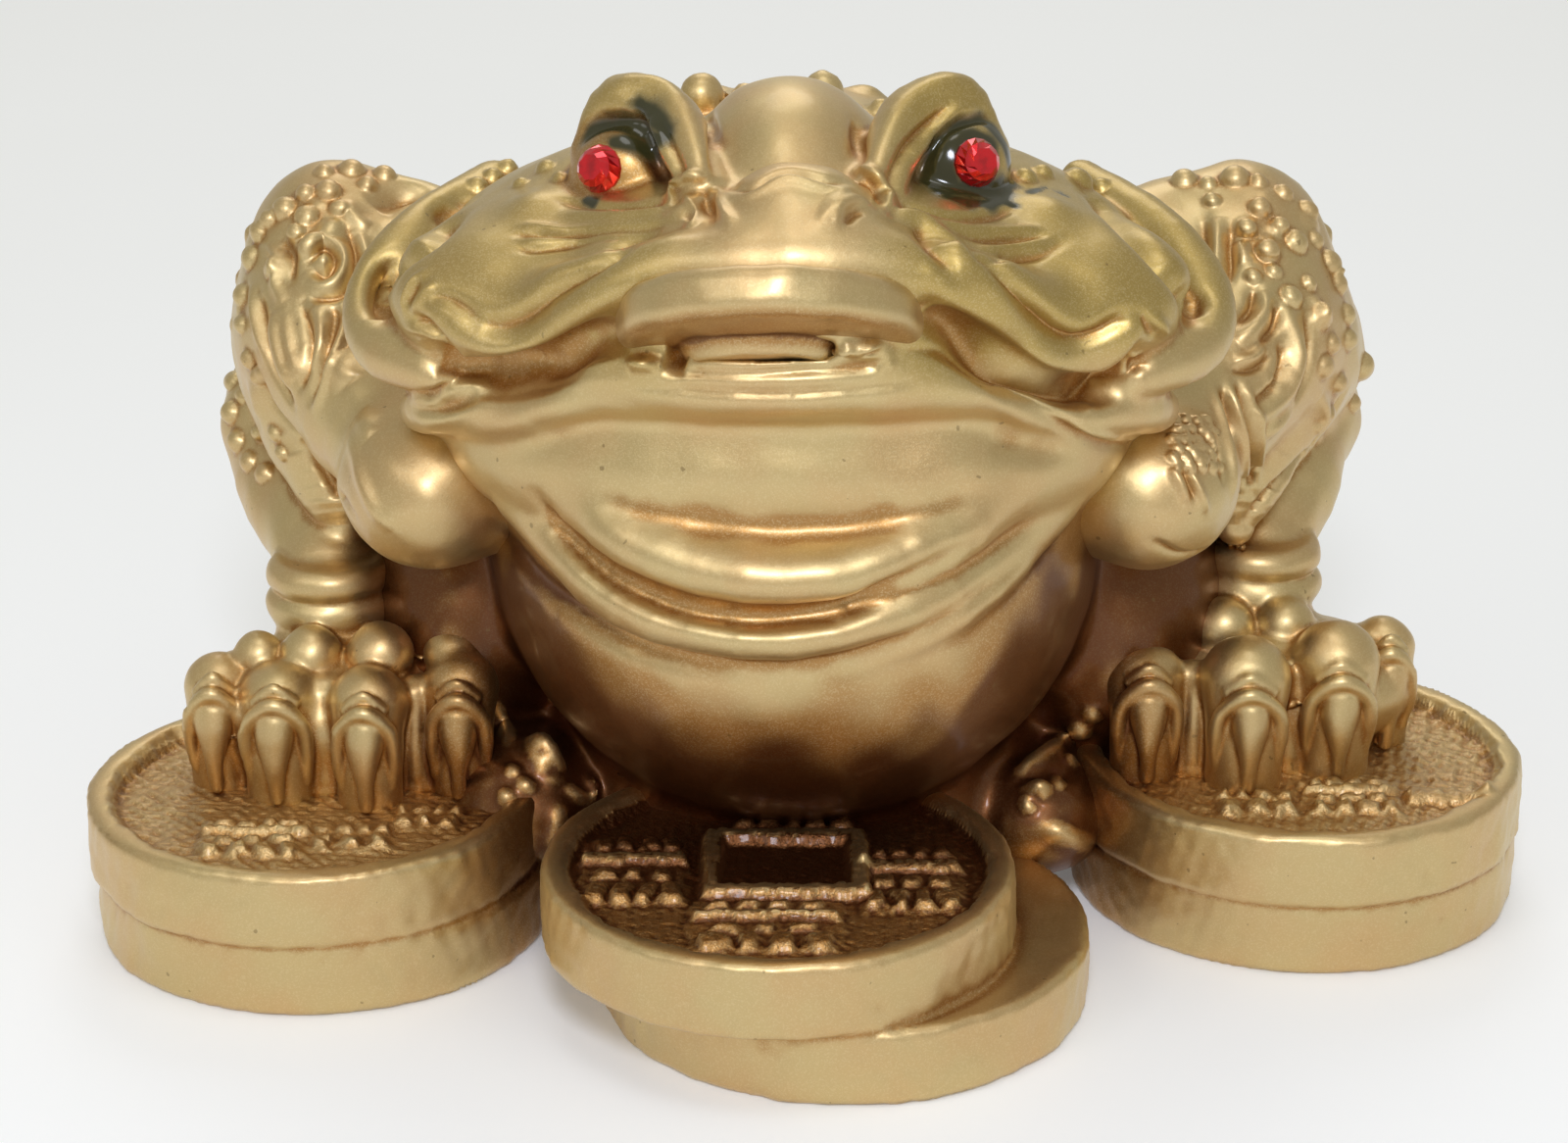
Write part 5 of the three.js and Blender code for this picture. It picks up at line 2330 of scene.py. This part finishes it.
@dataclass(frozen=True)
class SoftLight:
    """A large soft light that looks at the toad's chest."""

    name: str
    place: Triple
    size: float
    power: float
    colour: Triple = (1.0, 1.0, 1.0)
    target: Triple = (0, 0, 0.04)

    def build(self) -> None:
        """Hang the light."""
        select_none()
        bpy.ops.object.light_add(type="AREA", location=self.place)
        lamp = bpy.context.object
        lamp.name = self.name
        lamp.data.shape = "DISK"
        lamp.data.size = self.size
        lamp.data.energy = self.power
        lamp.data.color = self.colour
        aim = Vector(self.target) - Vector(self.place)
        lamp.rotation_euler = aim.to_track_quat("-Z", "Y").to_euler()


@dataclass
class Studio:
    """A pale floor, soft lights and the photograph's camera."""

    floor_size: float = 3.0
    sky: Quad = rgb(1.0, 1.0, 0.93)
    sky_strength: float = 0.48
    film_width: float = 36.0
    nearest: float = 0.01
    lights: tuple[SoftLight, ...] = (
        SoftLight("top_light", (0.0, -0.1, 1.1), 0.45, 1.4),
        SoftLight("front_light", (0.0, -0.4, 0.35), 0.12, 1.05, (0.95, 1.0, 1.15)),
        SoftLight("left_light", (-0.35, -0.35, 0.4), 0.2, 0.17),
        SoftLight("back_light", (0.0, 0.7, 0.7), 0.5, 1.2),
    )

    def build(self) -> None:
        """Set up floor, lights, world and camera."""
        select_none()
        bpy.ops.mesh.primitive_plane_add(size=self.floor_size)
        floor = bpy.context.object
        floor.name = "floor"
        bpy.ops.object.mode_set(mode="EDIT")
        bpy.ops.mesh.subdivide(number_cuts=6)
        bpy.ops.object.mode_set(mode="OBJECT")
        floor.data.materials.append(PaleFloor().make("pale_floor"))
        for light in self.lights:
            light.build()
        world = bpy.data.worlds.new("studio")
        world.use_nodes = True
        sky = world.node_tree.nodes["Background"]
        sky.inputs["Color"].default_value = self.sky
        sky.inputs["Strength"].default_value = self.sky_strength
        bpy.context.scene.world = world
        bpy.context.scene.view_settings.view_transform = "Standard"
        place = (np.array(CAMERA.place) + FORM_ORIGIN) * MM
        bpy.ops.object.camera_add(location=tuple(place))
        camera = bpy.context.object
        camera.rotation_euler = (math.radians(90 - CAMERA.pitch), 0, 0)
        camera.data.sensor_width = self.film_width
        camera.data.lens = self.film_width * CAMERA.focal / (2 * CAMERA.middle[0])
        camera.data.clip_start = self.nearest
        bpy.context.scene.camera = camera


def main() -> None:
    """Build the figure and the studio."""
    logging.basicConfig(level=logging.INFO, format="%(message)s")
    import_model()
    gold = GoldPaint().make("gold_paint")
    coin_gold = GoldPaint().make("gold_paint_coins", stipple_mm=0.12)
    glass = RedGlass().make("red_glass")
    ToadBody().build(gold)
    for leg in front_legs():
        leg.build(gold)
    for stack in coin_stacks():
        stack.build(coin_gold)
    MouthCoin().build(gold)
    EyeStone("left_stone", "left_eye_stone", LEFT_EYE).build(glass)
    EyeStone("right_stone", "right_eye_stone", RIGHT_EYE).build(glass)
    Studio().build()


if __name__ == "__main__":
    main()
